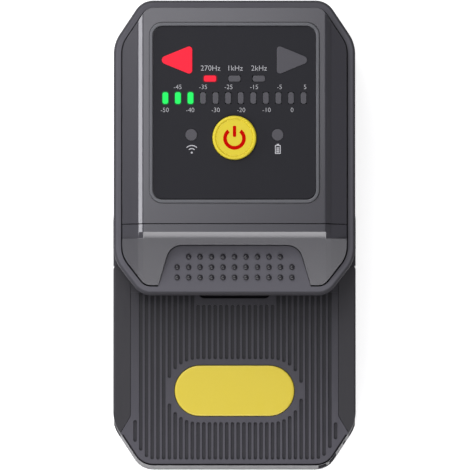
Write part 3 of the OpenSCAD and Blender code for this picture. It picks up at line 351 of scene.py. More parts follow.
def shade(obj, angle=32):
    """Smooth faces, with edges sharper than an angle kept sharp and wide faces kept flat to the eye."""
    def change(work):
        for face in work.faces:
            face.smooth = True
        for edge in work.edges:
            if len(edge.link_faces) == 2:
                edge.smooth = edge.calc_face_angle(0) < radians(angle)
    reshape(obj, change)
    step = obj.modifiers.new("normals", "WEIGHTED_NORMAL")
    step.keep_sharp, step.weight = True, 80
    return bake(obj)


def ease(obj, width=0.12, angle=32, segments=2):
    """Rounds the edges that are sharper than an angle, and shades the rest smooth."""
    reshape(obj, lambda work: bmesh.ops.dissolve_limit(
        work, angle_limit=radians(0.6), verts=work.verts, edges=work.edges))
    step = obj.modifiers.new("edges", "BEVEL")
    step.width, step.segments, step.limit_method = width, segments, "ANGLE"
    step.angle_limit, step.use_clamp_overlap = radians(angle), True
    return shade(bake(obj), angle)


def from_node(name, node):
    """A merged copy of a CAD node in millimetres."""
    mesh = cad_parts[node].data.copy()
    mesh.name = name
    mesh.materials.clear()
    mesh.transform(Matrix.Scale(1000, 4))
    return reshape(placed(name, mesh),
                   lambda work: bmesh.ops.remove_doubles(work, verts=work.verts, dist=0.0005))


def join(name, objects):
    """One object from several."""
    work = bmesh.new()
    for obj in objects:
        work.from_mesh(obj.data)
        bpy.data.objects.remove(obj)
    mesh = bpy.data.meshes.new(name)
    work.to_mesh(mesh)
    work.free()
    return placed(name, mesh)


def settle(obj, body, slot, *stands_for, finish=None):
    """Brings a finished form to metres, gives it its finish and lets it ride on its body."""
    obj.data.transform(Matrix.Scale(MM, 4))
    obj.data.materials.clear()
    obj.data.materials.append(finishes[finish or slot])
    if body:
        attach(obj, body)
    if stands_for:
        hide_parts(*stands_for)


# ---- Node trees ----

def feed(tree, node, links):
    """Sets a node's inputs, by name or number, to values or sockets. A list is several links."""
    for key, value in links.items():
        for item in value if isinstance(value, list) else [value]:
            if isinstance(item, bpy.types.NodeSocket):
                tree.links.new(item, node.inputs[key])
            else:
                node.inputs[key].default_value = item


def put(tree, kind, links=None, **settings):
    """A new node with its settings and inputs."""
    node = tree.nodes.new(kind)
    for key, value in settings.items():
        setattr(node, key, value)
    feed(tree, node, links or {})
    return node


def first(tree, kind, links=None, **settings):
    """The first output of a new node."""
    return put(tree, kind, links, **settings).outputs[0]


def product(tree, a, b):
    """One value times another."""
    return first(tree, "ShaderNodeMath", {0: a, 1: b}, operation="MULTIPLY")


def new_tree(name, **sizes):
    """A Geometry Nodes tree with a mesh, sizes and a material as named inputs, and those inputs."""
    tree = bpy.data.node_groups.new(name, "GeometryNodeTree")

    def socket(label, kind, way="INPUT"):
        return tree.interface.new_socket(label, in_out=way, socket_type="NodeSocket" + kind)

    socket("Mesh", "Geometry")
    for label, value in sizes.items():
        socket(label.replace("_", " "), "Int" if isinstance(value, int) else "Float").default_value = value
    socket("Material", "Material")
    socket("Mesh", "Geometry", "OUTPUT")
    return tree, tree.nodes.new("NodeGroupInput").outputs


def ending(tree, start, last):
    """Closes a tree with Realize Instances, Set Material and the output."""
    real = first(tree, "GeometryNodeRealizeInstances", {0: last})
    painted = first(tree, "GeometryNodeSetMaterial", {0: real, "Material": start["Material"]})
    put(tree, "NodeGroupOutput", {0: painted})
    return tree


def grow(obj, tree, **values):
    """Runs a tree on an object with named inputs and keeps the result as its plain mesh."""
    step = obj.modifiers.new("tree", "NODES")
    step.node_group = tree
    for item in tree.interface.items_tree:
        key = item.name.lower().replace(" ", "_")
        if item.in_out == "INPUT" and key in values:
            step[item.identifier] = values[key]
    return bake(obj)


def dome_tree():
    """A round dome on each point."""
    tree, start = new_tree("thumb pad domes", Radius=0.65, Sides=24, Rings=16)
    ball = first(tree, "GeometryNodeMeshUVSphere", {
        "Segments": start["Sides"], "Rings": start["Rings"], "Radius": start["Radius"]})
    smooth = first(tree, "GeometryNodeSetShadeSmooth", {0: ball})
    return ending(tree, start, first(tree, "GeometryNodeInstanceOnPoints", {
        "Points": start[0], "Instance": smooth}))


def groove_tree():
    """A straight-walled block on each closed outline of the mesh, which lies in the plane z = 0."""
    tree, start = new_tree("grooves between ribs", Depth=1.0, Weld=0.0005)
    line = first(tree, "GeometryNodeMeshToCurve", {0: start[0]})
    floor = first(tree, "GeometryNodeFillCurve", {0: line})
    raised = first(tree, "GeometryNodeExtrudeMesh", {0: floor, "Offset Scale": start["Depth"], "Individual": False})
    under = first(tree, "GeometryNodeFlipFaces", {0: floor})
    both = first(tree, "GeometryNodeJoinGeometry", {0: [raised, under]})
    return ending(tree, start, first(tree, "GeometryNodeMergeByDistance", {0: both, "Distance": start["Weld"]}))


def screw_tree():
    """A screw on each point: a domed head with a cross recess, and a plain shank below it."""
    tree, start = new_tree("screws", Head_Radius=1.9, Head_Height=1.2, Shank_Radius=1.1, Shank_Length=10.0)
    radius, height = start["Head Radius"], start["Head Height"]

    def times(socket, share):
        return product(tree, socket, share)

    def moved(form, distance):
        place = first(tree, "ShaderNodeCombineXYZ", {2: distance})
        return first(tree, "GeometryNodeTransform", {0: form, "Translation": place})

    skirt = first(tree, "GeometryNodeMeshCone", {
        "Vertices": 40, "Radius Top": times(radius, 0.88), "Radius Bottom": radius, "Depth": times(height, 0.25)})
    disc = first(tree, "GeometryNodeMeshCylinder", {
        "Vertices": 40, "Radius": radius, "Depth": times(height, 0.75)})
    head = first(tree, "GeometryNodeMeshBoolean", {
        1: [moved(skirt, times(height, 0.75)), moved(disc, times(height, 0.375))]},
        operation="UNION", solver="EXACT")
    arms = []
    for along in (0, 1):
        size = first(tree, "ShaderNodeCombineXYZ", {
            along: times(radius, 1.1), 1 - along: times(radius, 0.26), 2: times(height, 1.3)})
        arms.append(moved(first(tree, "GeometryNodeMeshCube", {"Size": size}), times(height, 1.1)))
    cut = first(tree, "GeometryNodeMeshBoolean", {0: head, 1: arms}, operation="DIFFERENCE", solver="EXACT")
    shank = first(tree, "GeometryNodeMeshCylinder", {
        "Vertices": 24, "Radius": start["Shank Radius"], "Depth": start["Shank Length"]})
    stem = moved(shank, times(start["Shank Length"], -0.5))
    whole = first(tree, "GeometryNodeJoinGeometry", {0: [cut, stem]})
    return ending(tree, start, first(tree, "GeometryNodeInstanceOnPoints", {
        "Points": start[0], "Instance": whole}))


def wire_tree():
    """A round wire along each chain of edges."""
    tree, start = new_tree("wire", Radius=0.25, Sides=12)
    line = first(tree, "GeometryNodeMeshToCurve", {0: start[0]})
    ring = first(tree, "GeometryNodeCurvePrimitiveCircle", {
        "Resolution": start["Sides"], "Radius": start["Radius"]})
    tube = first(tree, "GeometryNodeCurveToMesh", {0: line, 1: ring, "Fill Caps": True})
    return ending(tree, start, first(tree, "GeometryNodeSetShadeSmooth", {0: tube}))


# ---- Finishes ----

def srgb(r, g, b):
    """A colour given in 0 to 255 as the shader's own value."""
    def line(v):
        v /= 255
        return v / 12.92 if v <= 0.04045 else ((v + 0.055) / 1.055) ** 2.4
    return (line(r), line(g), line(b), 1.0)


def shaded(colour, share):
    """A colour made lighter or darker."""
    return tuple(min(1.0, c * share) for c in colour[:3]) + (1.0,)


def empty_tree(owner):
    """The cleared shader tree of a material or a world."""
    owner.use_nodes = True
    owner.node_tree.nodes.clear()
    return owner.node_tree


def new_finish(name, roughness, metallic=0.0, **sockets):
    """A material with its shader and its Object coordinates in millimetres."""
    material = bpy.data.materials.new(name)
    tree = empty_tree(material)
    shader = put(tree, "ShaderNodeBsdfPrincipled", {"Roughness": roughness, "Metallic": metallic})
    feed(tree, shader, {label.replace("_", " "): value for label, value in sockets.items()})
    put(tree, "ShaderNodeOutputMaterial", {0: shader.outputs[0]})
    coords = put(tree, "ShaderNodeTexCoord").outputs["Object"]
    return material, tree, shader, first(tree, "ShaderNodeMapping", {0: coords, "Scale": (1000, 1000, 1000)})


def noise(tree, place, scale, detail=3.0, stretch=None):
    """Noise from 0 to 1 at a scale in waves for each millimetre."""
    if stretch:
        place = first(tree, "ShaderNodeMapping", {0: place, "Scale": stretch})
    return first(tree, "ShaderNodeTexNoise", {"Vector": place, "Scale": scale, "Detail": detail})


def blended(tree, share, low, high):
    """A colour between two by a share from 0 to 1."""
    return put(tree, "ShaderNodeMix", {0: share, 6: low, 7: high}, data_type="RGBA").outputs[2]


def spread_of(tree, value, low, high, out_low=0.0, out_high=1.0):
    """A value mapped from one span to another."""
    return first(tree, "ShaderNodeMapRange", {0: value, 1: low, 2: high, 3: out_low, 4: out_high})


def dress(tree, shader, links, height, strength, relief):
    """Feeds a shader, with a relief in millimetres that follows a height from 0 to 1."""
    bump = first(tree, "ShaderNodeBump", {"Strength": strength, "Distance": relief * MM, "Height": height})
    feed(tree, shader, {**links, "Normal": bump})


def worn_edges(tree, radius):
    """A mask that is bright on outer edges, where handling polishes the surface."""
    eased = first(tree, "ShaderNodeBevel", {"Radius": radius * MM}, samples=4)
    true = put(tree, "ShaderNodeNewGeometry").outputs["Normal"]
    dot = put(tree, "ShaderNodeVectorMath", {0: eased, 1: true}, operation="DOT_PRODUCT").outputs["Value"]
    return spread_of(tree, dot, 0.995, 0.9)


def moulded(name, rgb, roughness, grain=6.0, relief=0.012, edge=0.2, mottle=0.06, wear=1.22, scuffs=1.0,
            shine=0.5, share_of=None, **sockets):
    """Moulded plastic or rubber: a spark-eroded grain, slow colour drift, faint scuffs and polished edges."""
    material, tree, shader, place = new_finish(name, roughness, Specular_IOR_Level=shine, **sockets)
    colour = srgb(*rgb)
    drift = noise(tree, place, 0.05, 2.0)
    fine = noise(tree, place, grain, 2.0)
    tone = blended(tree, drift, shaded(colour, 1 - mottle), shaded(colour, 1 + mottle))
    speck = blended(tree, spread_of(tree, fine, 0.3, 0.7), shaded(colour, 0.97), shaded(colour, 1.03))
    tone_shift = product(tree, worn_edges(tree, edge), spread_of(tree, drift, 0.35, 0.65, 0.3, 1.0))
    tone = blended(tree, tone_shift, blended(tree, 0.5, tone, speck), shaded(colour, wear))
    # A share_of tree scales the colour by place; the ribbed and rim finishes use it for painted shade.
    if share_of:
        spot = put(tree, "ShaderNodeSeparateXYZ", {0: place}).outputs
        tone = first(tree, "ShaderNodeVectorMath", {0: tone, 3: share_of(tree, spot)}, operation="SCALE")
    scuff = noise(tree, place, 0.9, 4.0, stretch=(1, 0.25, 1))
    dull = spread_of(tree, scuff, 0.3, 0.75, roughness - 0.05 * scuffs, roughness + 0.07 * scuffs)
    dress(tree, shader, {"Base Color": tone, "Roughness": dull}, fine, 0.5, relief)
    return material


def rib_share(tree, spot):
    """Painted shade and highlight on the ribbed cover: rib tops painted lighter and groove floors darker, as light
    falls on them, and a painted shadow of the head that darkens the ribs near the head and fades towards the end of
    the handle.
    """
    floor = HANDLE_H - GROOVE_D + 0.05
    # Height gives painted highlight on rib tops and painted shade in the grooves; Y adds the painted shadow of the
    # head.
    tone_shift = product(tree, spread_of(tree, spot[2], floor, HANDLE_H - 0.08, 0.76, 1.8),
                     spread_of(tree, spot[1], -14.0, -50.0, 0.5, 1.28))
    above = spread_of(tree, spot[2], floor - 0.3, floor - 0.1)
    return first(tree, "ShaderNodeMix", {0: above, 2: 1.0, 3: tone_shift})


def rim_share(tree, spot):
    """Painted shade: the sides and lower faces of the head frame, below the top of its rim, are painted darker, as
    they turn away from the light.
    """
    return spread_of(tree, spot[2], RIM_Z - 0.12, RIM_Z - 0.01, 0.5, 1.0)


def metal(name, rgb, roughness):
    """Drawn or plated metal with fine lines and small dull spots."""
    material, tree, shader, place = new_finish(name, roughness, metallic=1.0)
    colour = srgb(*rgb)
    lines = noise(tree, place, 3.0, 3.0, stretch=(1, 1, 12))
    spots = noise(tree, place, 1.2, 4.0)
    tone = blended(tree, spread_of(tree, spots, 0.45, 0.7), colour, shaded(colour, 0.72))
    dull = spread_of(tree, spots, 0.4, 0.7, roughness, roughness + 0.2)
    dress(tree, shader, {"Base Color": tone, "Roughness": dull}, lines, 0.35, 0.01)
    return material


def glowing(name, rgb, strength):
    """A lit lens: the light comes through coloured plastic, a little stronger over the lamp."""
    material, tree, shader, place = new_finish(name, 0.45, Specular_IOR_Level=0.25, Emission_Strength=strength)
    colour = srgb(*rgb)
    cloud = noise(tree, place, 0.7, 1.0)
    light = blended(tree, cloud, shaded(colour, 0.94), shaded(colour, 1.06))
    tone = blended(tree, cloud, shaded(colour, 0.1), shaded(colour, 0.16))
    dress(tree, shader, {"Base Color": tone, "Emission Color": light}, noise(tree, place, 4.0, 2.0), 0.2, 0.01)
    return material


def board_finish(name):
    """Circuit board: green mask over darker tracks, with small plated dots."""
    material, tree, shader, place = new_finish(name, 0.35, Coat_Weight=0.4, Coat_Roughness=0.15)
    tracks = put(tree, "ShaderNodeTexBrick", {
        "Vector": place, "Scale": 0.55, "Mortar Size": 0.035, "Color1": (0.01, 0.16, 0.06, 1),
        "Color2": (0.008, 0.12, 0.05, 1), "Mortar": (0.02, 0.27, 0.11, 1)}).outputs
    cells = put(tree, "ShaderNodeTexVoronoi", {"Vector": place, "Scale": 0.45}).outputs["Distance"]
    tone = blended(tree, spread_of(tree, cells, 0.13, 0.16, 1.0, 0.0), tracks[0], srgb(214, 190, 120))
    dress(tree, shader, {"Base Color": tone}, tracks[1], 0.4, 0.03)
    return material


def cell_finish(name):
    """Battery sleeve: plain printed film, copper coloured towards one end."""
    material, tree, shader, place = new_finish(name, 0.25, metallic=0.55, Coat_Weight=0.5)
    along = first(tree, "ShaderNodeSeparateXYZ", {0: place})
    tone = blended(tree, spread_of(tree, along, 9.0, 9.4), srgb(58, 92, 66), srgb(190, 130, 74))
    worn = blended(tree, noise(tree, place, 0.8), tone, srgb(70, 78, 70))
    feed(tree, shader, {"Base Color": blended(tree, 0.25, tone, worn)})
    return material


BASE_GREY = (52, 51, 56)

MOULDED = {
    # The head frame's finish paints its sides darker as painted shade.
    "head_grey": ((95, 94, 100), 0.58, dict(grain=5.0, relief=0.008, shine=0.12, share_of=rim_share)),
    "cover_grey": ((60, 59, 65), 0.3, dict(grain=5.0, relief=0.0012, mottle=0.03, scuffs=0.3, shine=0.75,
                                           Coat_Weight=1.0, Coat_Roughness=0.24)),
    "shell_grey": (BASE_GREY, 0.45, dict(grain=4.5, relief=0.01)),
    # The ribbed finish carries painted shade in the grooves, painted highlight on the ribs and the head's painted
    # shadow.
    "rib_grey": (BASE_GREY, 0.42, dict(grain=4.5, relief=0.01, share_of=rib_share)),
    # The domes take a darker copy of the head grey as painted shade.
    "dome_grey": ((48, 47, 51), 0.3, dict(relief=0.001, edge=0.05, wear=1.0, scuffs=0.2)),
    "grip_rubber": ((46, 45, 49), 0.6, dict(grain=7.0, relief=0.014, wear=1.1)),
    "plate_yellow": ((219, 198, 69), 0.34, dict(relief=0.004, mottle=0.02, wear=1.06)),
    "button_yellow": ((221, 202, 52), 0.4, dict(grain=7.0, relief=0.005, mottle=0.02, wear=1.04, shine=0.3)),
    "symbol_red": ((192, 6, 0), 0.5, dict(relief=0.004, mottle=0.03, wear=1.0, shine=0.03)),
    "bezel_grey": ((92, 93, 97), 0.3, dict(relief=0.001, wear=1.1, scuffs=0.3)),
    "panel_dark": ((41, 41, 45), 0.5, dict(grain=7.0, relief=0.006, mottle=0.05, shine=0.12)),
    "print_white": ((186, 186, 190), 0.5, dict(relief=0.002, mottle=0.03, wear=1.0)),
    "lens_grey": ((80, 79, 84), 0.4, dict(relief=0.003, shine=0.3)),
    "lamp_white": ((226, 224, 210), 0.4, dict(relief=0.003, mottle=0.02)),
    "black_plastic": ((34, 34, 36), 0.4, dict(relief=0.008)),
    "bumper_rubber": ((40, 40, 42), 0.75, dict(grain=8.0, relief=0.02)),
    "cable_film": ((196, 132, 44), 0.25, dict(relief=0.003, Coat_Weight=0.5)),
}

finishes = {name: moulded(name, rgb, roughness, **more) for name, (rgb, roughness, more) in MOULDED.items()}
for name, rgb, strength in (("lens_red", (253, 30, 58), 0.95), ("lens_green", (30, 246, 100), 0.98),
                            ("halo_red", (120, 14, 26), 0.8), ("halo_green", (12, 112, 48), 0.8)):
    finishes[name] = glowing(name, rgb, strength)
finishes["screw_steel"] = metal("screw_steel", (196, 197, 200), 0.28)
finishes["contact_metal"] = metal("contact_metal", (206, 202, 190), 0.24)
finishes["circuit_board"] = board_finish("circuit_board")
finishes["cell_sleeve"] = cell_finish("cell_sleeve")


def repaint(node, finish):
    """Gives a carried-over CAD node a finish."""
    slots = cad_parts[node].material_slots
    if not slots:
        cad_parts[node].data.materials.append(finishes[finish])
    for slot in slots:
        slot.material = finishes[finish]


def dressed(name, node, body, slot, width=0.12, angle=32):
    """A CAD node's own form with its edges eased."""
    settle(ease(from_node(name, node), width, angle), body, slot, node)


# ---- Head ----

def head_rim():
    """Rim of the head with its thumb pad and the two fibre ports."""
    r, low_edge, ledge = 0.9, 0.15, RIM_W + LEDGE_W
    profile = [(low_edge, HEAD_Z), (0.0, HEAD_Z + low_edge)]
    profile += [(r - r * cos(a), RIM_Z - r + r * sin(a)) for a in (radians(90 * i / 8) for i in range(9))]
    profile += [(RIM_W, RIM_Z), (RIM_W, HOOD_FOOT), (ledge, HOOD_FOOT), (ledge, LEDGE_LOW), (RIM_W, LEDGE_LOW),
                (RIM_W, HEAD_Z)]
    rim = loft("head_rim", [at_height(head_outline(d), z) for d, z in profile], closed=True)
    combine(rim, [slab("pad", pad_outline(0, HEAD_LOW + 1.0), RIM_Z - 1.6, RIM_Z)], "UNION")
    combine(rim, [lying(turned_form("port", [(PORT_R, -4), (PORT_R, 4)], sides=32),
                        (side * HEAD_HALF, FIBRE_Y, HEAD_Z)) for side in (-1, 1)])
    settle(ease(rim), "head", "head_grey", "head_frame")


def thumb_domes(tree):
    """Three rows of domes on the thumb pad, in a darker copy of the head grey as painted shade."""
    places = []
    for row, count in enumerate((9, 11, 11)):
        places += [((i - (count - 1) / 2) * DOME_PITCH, FIBRE_Y + (1 - row) * DOME_ROW, RIM_Z - 0.08)
                   for i in range(count)]
    domes = grow(plain("thumb_domes", places), tree, radius=DOME_R, material=finishes["dome_grey"])
    settle(domes, "head", "head_grey", finish="dome_grey")


def face_profile(drop, inset, rise, lift):
    """Upper line of the raised face as (x, z). The foot of its bevel may rise, and its outer edge may lift."""
    out = HEAD_HALF - RIM_W - COVER_GAP - inset
    side = [(out, FACE_Z - 2.13 - drop + lift), (FLAT_HALF + 1.2 - inset / 2, FACE_Z - 1.0 - drop + rise),
            (FLAT_HALF - inset / 2, FACE_Z - drop)]
    line = [Vector(p) for p in side + [(-x, z) for x, z in reversed(side)]]
    return softened(line, [1.4, 0.9, 0.9, 1.4])


def face_form(name, stations, foot, drop, inset):
    """Solid of the raised face through stations of (y, how far the face has dropped, rise, lift)."""
    rings = []
    for y, fall, rise, lift in stations:
        top = [(p.x, y, p.y - fall) for p in face_profile(drop, inset, rise, lift)]
        rings.append(top + [(top[-1][0], y, foot), (top[0][0], y, foot)])
    return loft(name, rings)


def hood(name, outer, inner):
    """A hood through the outer stations, kept inside the rim, and the form of its hollow."""
    forms = []
    for label, stations, foot, low, wall, drop, inset in (
            (name, outer, 20, HOOD_FOOT, 0.0, 0.0, 0.0), ("inside", inner, 15, 10, HOOD_WALL, HOOD_T, HOOD_WALL)):
        edge = slab("edge", head_outline(RIM_W + COVER_GAP + wall), low, ABOVE)
        forms.append(combine(face_form(label, stations, foot, drop, inset), [edge], "INTERSECT"))
    return forms


def display_hood():
    """Raised cover round the display."""
    cover, inside = hood("display_hood", [(SEAM_Y + SEAM_GAP, 0, 0, 0), (HEAD_HIGH, 0, 0, 0)],
                         [(SEAM_Y - 2, 0, 0, 0), (HEAD_HIGH - RIM_W - HOOD_WALL, 0, 0, 0)])
    seat = slab("seat", bezel_outline(-0.1, -0.1), FACE_Z - 0.6, ABOVE)
    well = slab("well", bezel_outline(0.75, 0.85), FACE_Z - 1.3, ABOVE)
    window = slab("window", bezel_outline(2.35, 0.9), HEAD_Z, ABOVE)
    combine(cover, [inside, seat, well, window])
    settle(ease(cover, 0.14, angle=40), "head", "head_grey", "display_cover", finish="cover_grey")


def chin_hood():
    """Chin below the cross seam, which bends and then slopes down to the rim, past a small step at the bend."""
    def fall(y):
        return BEND_DROP + CHIN_DROP * (BEND_LOW - y) / (BEND_LOW - HEAD_LOW - RIM_W)

    turn = BEND_LOW - 0.06
    slope = [(BEND_HIGH, 0, 0, 0), (BEND_LOW, BEND_DROP, 0.75, 0.78), (turn, fall(turn), 0.85, 1.4),
             (HEAD_LOW, fall(HEAD_LOW), 0.92, 1.8)]
    chin, inside = hood("chin_hood", [(SEAM_Y - SEAM_GAP, 0, 0, 0)] + slope, [(SEAM_Y + 2, 0, 0, 0)] + slope)
    combine(inside, [block("room", (-30, 30), (CHIN_ROOM_Y, 30), (10, ABOVE))], "INTERSECT")
    combine(chin, [inside, slab("pad", pad_outline(0.1, HEAD_LOW), 20, ABOVE)])
    settle(shade(ease(chin, 0.14, angle=12), 40), "head", "head_grey", "chin_cover", finish="cover_grey")


def bezel_ring():
    """Thin bezel with a rounded crown."""
    profile = [(0.0, 29.9), (0.0, 30.5), (0.08, 30.68), (0.25, 30.75), (0.6, 30.75), (0.77, 30.66),
               (0.85, 30.45), (0.85, 29.9)]
    ring = loft("bezel_ring", [at_height(bezel_outline(d, d), z) for d, z in profile], closed=True)
    settle(shade(ring, 50), "head", "bezel_grey", "display_bezel")


def lens_set(name, node, outlines, slot, *stands_for):
    """Lenses on their outlines in the panel."""
    low, high = (1000 * corner[2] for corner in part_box(node))
    forms = [slab("lens", outline, low, high + 0.05) for outline in outlines]
    settle(ease(join(name, forms), 0.1, segments=3), "head", slot, *stands_for)


def halo_set(name, outlines, slot, finish):
    """Light that bleeds into the panel round the lit lenses."""
    glow = []
    for outline in outlines:
        middle = sum(outline, Vector((0, 0))) / len(outline)
        half = max((p - middle).length for p in outline)
        wide = [middle + (p - middle) * (1 + HALO_W / max((p - middle).length, 0.4 * half)) for p in outline]
        glow.append(slab("glow", wide, PANEL_TOP - 0.1, PANEL_TOP + 0.015))
    settle(join(name, glow), "head", slot, finish=finish)


def lenses():
    """Arrow, frequency, level and status lenses, lit and unlit."""
    def middle_y(node):
        return 500 * sum(corner[1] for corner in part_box(node))

    def arrow(side):
        y = middle_y("arrow_lenses")
        return rounded([(side * 10.1, y - 3.6), (side * 18.9, y), (side * 10.1, y + 3.6)], [0.75, 0.95, 0.75])

    def row(node, places, half_x, half_y, r):
        return [box_outline(half_x, half_y, r, middle_y(node), x) for x in places]

    rates = row("frequency_lenses", (-RATE_PITCH, 0.0, RATE_PITCH), 1.45, 0.72, 0.45)
    bars = row("level_lenses", [BAR_PITCH * (i - (BAR_COUNT - 1) / 2) for i in range(BAR_COUNT)], 0.68, 1.37, 0.5)
    for name, outlines, lit, colour, halo in (("arrow", [arrow(-1), arrow(1)], 1, "red", False),
                                              ("frequency", rates, 1, "red", True),
                                              ("level", bars, BARS_LIT, "green", True)):
        node, bright = name + "_lenses", name + "_lens_lit"
        lens_set(bright, node, outlines[:lit], "lens_" + colour, node)
        if halo:
            halo_set(bright + "_halo", outlines[:lit], "lens_" + colour, "halo_" + colour)
        lens_set(name + "_lens_plain", node, outlines[lit:], "lens_grey")
    settle(ease(from_node("status_lens", "status_lenses"), 0.13, segments=3), "head", "lens_grey",
           "status_lenses")


def power_button():
    """Round button with a flange below, a soft rim, a fine ring groove and a shallow dish."""
    r, top, foot, flange = BUTTON_R, FACE_Z + 0.8, 28.3, 0.7
    profile = [(0, foot), (r + flange, foot), (r + flange, foot + flange), (r, foot + flange)]
    profile += [(r - inset, top - drop) for inset, drop in (
        (0, 0.42), (0.06, 0.2), (0.2, 0.06), (0.4, 0), (0.64, 0.03), (0.74, 0.2), (0.86, 0.26), (0.98, 0.2),
        (1.06, 0.14), (1.4, 0.145), (r, 0.16))]
    button = turned_form("power_button_cap", profile, (0.0, BUTTON_Y), 96)
    settle(shade(button, 50), "button", "button_yellow", "power_button")


def power_symbol():
    """Open ring and bar of the power symbol."""
    low, high = FACE_Z + 0.47, FACE_Z + 0.67
    gap = radians(38)
    ring = bent_band("power_ring", 0, BUTTON_Y - 0.2, (1.8, 2.72), pi / 2 + gap, 2 * (pi - gap), 48,
                     low, high)
    bar = slab("power_bar", box_outline(0.42, 1.35, 0.3, BUTTON_Y + 1.5), low, high)
    settle(ease(join("power_symbol", [ring, bar]), 0.06), "button", "button_yellow", finish="symbol_red")


def label(text, x, y, height):
    """A line of plain figures, centred on a place on the panel."""
    thick = (PRINT_TOP - PANEL_TOP) / 2
    curve = bpy.data.curves.new("figures", "FONT")
    curve.body, curve.align_x, curve.align_y = text, "CENTER", "CENTER"
    curve.size, curve.extrude, curve.resolution_u, curve.offset = height / 0.72, thick, 3, -0.02
    line = placed("figures", curve)
    mesh = mesh_of(line)
    bpy.data.objects.remove(line)
    mesh.transform(Matrix.Translation((x, y, PANEL_TOP + thick)))
    return placed("figures", mesh)


def battery_sign(x, y):
    """Small upright battery sign."""
    rings = [at_height(box_outline(0.68 - d, 1.05 - d, 0.12, y - 0.1, x), z)
             for d, z in ((0, PANEL_TOP), (0, PRINT_TOP), (0.2, PRINT_TOP), (0.2, PANEL_TOP))]
    return [loft("frame", rings, closed=True)] + [
        block("charge", (x - half, x + half), (y + low, y + high), (PANEL_TOP, PRINT_TOP))
        for half, low, high in ((0.3, 0.95, 1.25), (0.32, -0.8, -0.5), (0.32, -0.35, -0.05), (0.32, 0.1, 0.4))]


def wave_sign(x, y):
    """Plain sign for a radio link: a dot below two arcs."""
    foot = y - 0.85
    return [turned_form("dot", [(0.24, PANEL_TOP), (0.24, PRINT_TOP)], (x, foot), 20)] + [
        bent_band("arc", x, foot, (r - 0.11, r + 0.11), radians(45), radians(90), 12,
                  PANEL_TOP, PRINT_TOP) for r in (0.95, 1.7)]


def panel_print():
    """Figures and small signs on the display panel."""
    parts = [label(text, x, 38.6, 1.3) for text, x in (("270Hz", -5.75), ("1kHz", 0.1), ("2kHz", 5.85))]
    for values, y, left in ((range(-45, 6, 10), 34.1, -13.55), (range(-50, 1, 10), 28.6, -16.65)):
        parts += [label(str(value), left + 6.08 * i, y, 1.12) for i, value in enumerate(values)]
    sheet = join("panel_print", parts + battery_sign(10.35, 19.3) + wave_sign(-10.2, 19.3))
    settle(tidy(sheet, 0.0001), "head", "panel_dark", finish="print_white")


# ---- Base ----

def name_plate():
    """Bare capsule plate with a rounded bevel."""
    profile = [(0.0, 17.0), (0.0, 17.62), (0.05, 17.8), (0.16, 17.95), (0.34, 18.06), (0.6, 18.1)]
    plate = loft("capsule_plate", [at_height(capsule_outline(d), z) for d, z in profile])
    settle(shade(plate, 40), "base", "plate_yellow", "name_plate")


def lowest_at(outline, x):
    """Lowest Y at which an outline passes x."""
    hits = []
    for a, b in zip(outline, outline[1:] + outline[:1]):
        if (a.x - x) * (b.x - x) < 0:
            hits.append(a.y + (x - a.x) / (b.x - a.x) * (b.y - a.y))
    return min(hits)


def groove_runs():
    """Middle lines of the grooves as (x, low, high), kept off the border, the plate and the finger scoop."""
    end = GROOVE_W / 2
    round_plate = PLATE_WIDE / 2 + BORDER
    outline = base_outline(BORDER, 24)
    runs = []
    for i in range(GROOVE_COUNT):
        x = GROOVE_FIRST + GROOVE_PITCH * i
        low, high = max(lowest_at(outline, x - end), lowest_at(outline, x + end)), GROOVE_TOP
        if abs(x) < SCOOP_HALF + BORDER / 2 + end:
            high = SCOOP_LOW - BORDER
        if abs(x) > CORNER_X:
            high = CORNER_TOP - CORNER_SLOPE * max(0.0, abs(x) + end - CORNER_FROM)
        spans = [(low, high)]
        reach = max(0.0, abs(x) - end - (PLATE_LONG - PLATE_WIDE) / 2)
        if reach < round_plate:
            tall = sqrt(round_plate * round_plate - reach * reach)
            spans = [(low, min(high, PLATE_Y - tall)), (max(low, PLATE_Y + tall), high)]
        runs += [(x, a + end, b - end) for a, b in spans if b - a > SHORTEST]
    return runs


def groove_cutter(tree):
    """Cutter of all the grooves, which have round ends."""
    points, edges = [], []
    r = GROOVE_W / 2
    for x, low, high in groove_runs():
        start = len(points)
        points += at_height(arc(x, low, r, pi, pi, 8) + arc(x, high, r, 0, pi, 8), 0)
        count = len(points) - start
        edges += [(start + i, start + (i + 1) % count) for i in range(count)]
    cutter = grow(plain("grooves", points, edges), tree, depth=1.2, material=finishes["shell_grey"])
    cutter.data.transform(Matrix.Translation((0, 0, HANDLE_H - GROOVE_D)))
    return tidy(cutter, 0.0002)


def end_groove():
    """Cutter of the fine groove along the edge of the handle end, between the side grips."""
    low, high = HANDLE_H - 0.9, HANDLE_H + 0.5
    ring = loft("end_groove", [at_height(base_outline(d, 16), z) for d, z in (
        (0.05, high), (0.05, low), (0.42, low), (0.42, high))], closed=True)
    return combine(ring, [block("keep", (-40, 40), (-60, END_GROOVE_HIGH), (HANDLE_H - 2, HANDLE_H + 1))], "INTERSECT")


def scoop_form():
    """Cutter of the finger scoop, whose floor rises gently towards the ribs."""
    half = SCOOP_LONG / 2
    r = (half * half + SCOOP_D * SCOOP_D) / (2 * SCOOP_D)
    form = lying(turned_form("scoop", [(r, -SCOOP_HALF), (r, SCOOP_HALF)], sides=200),
                 (0, SCOOP_LOW + half, HANDLE_H + r - SCOOP_D))
    plan = rounded([(-SCOOP_HALF, SCOOP_LOW), (SCOOP_HALF, SCOOP_LOW), (SCOOP_HALF, SCOOP_HIGH),
                    (-SCOOP_HALF, SCOOP_HIGH)], [1.6, 1.6, 0.1, 0.1])
    return combine(form, [slab("plan", plan, HANDLE_H - 3, HANDLE_H + 1)], "INTERSECT")


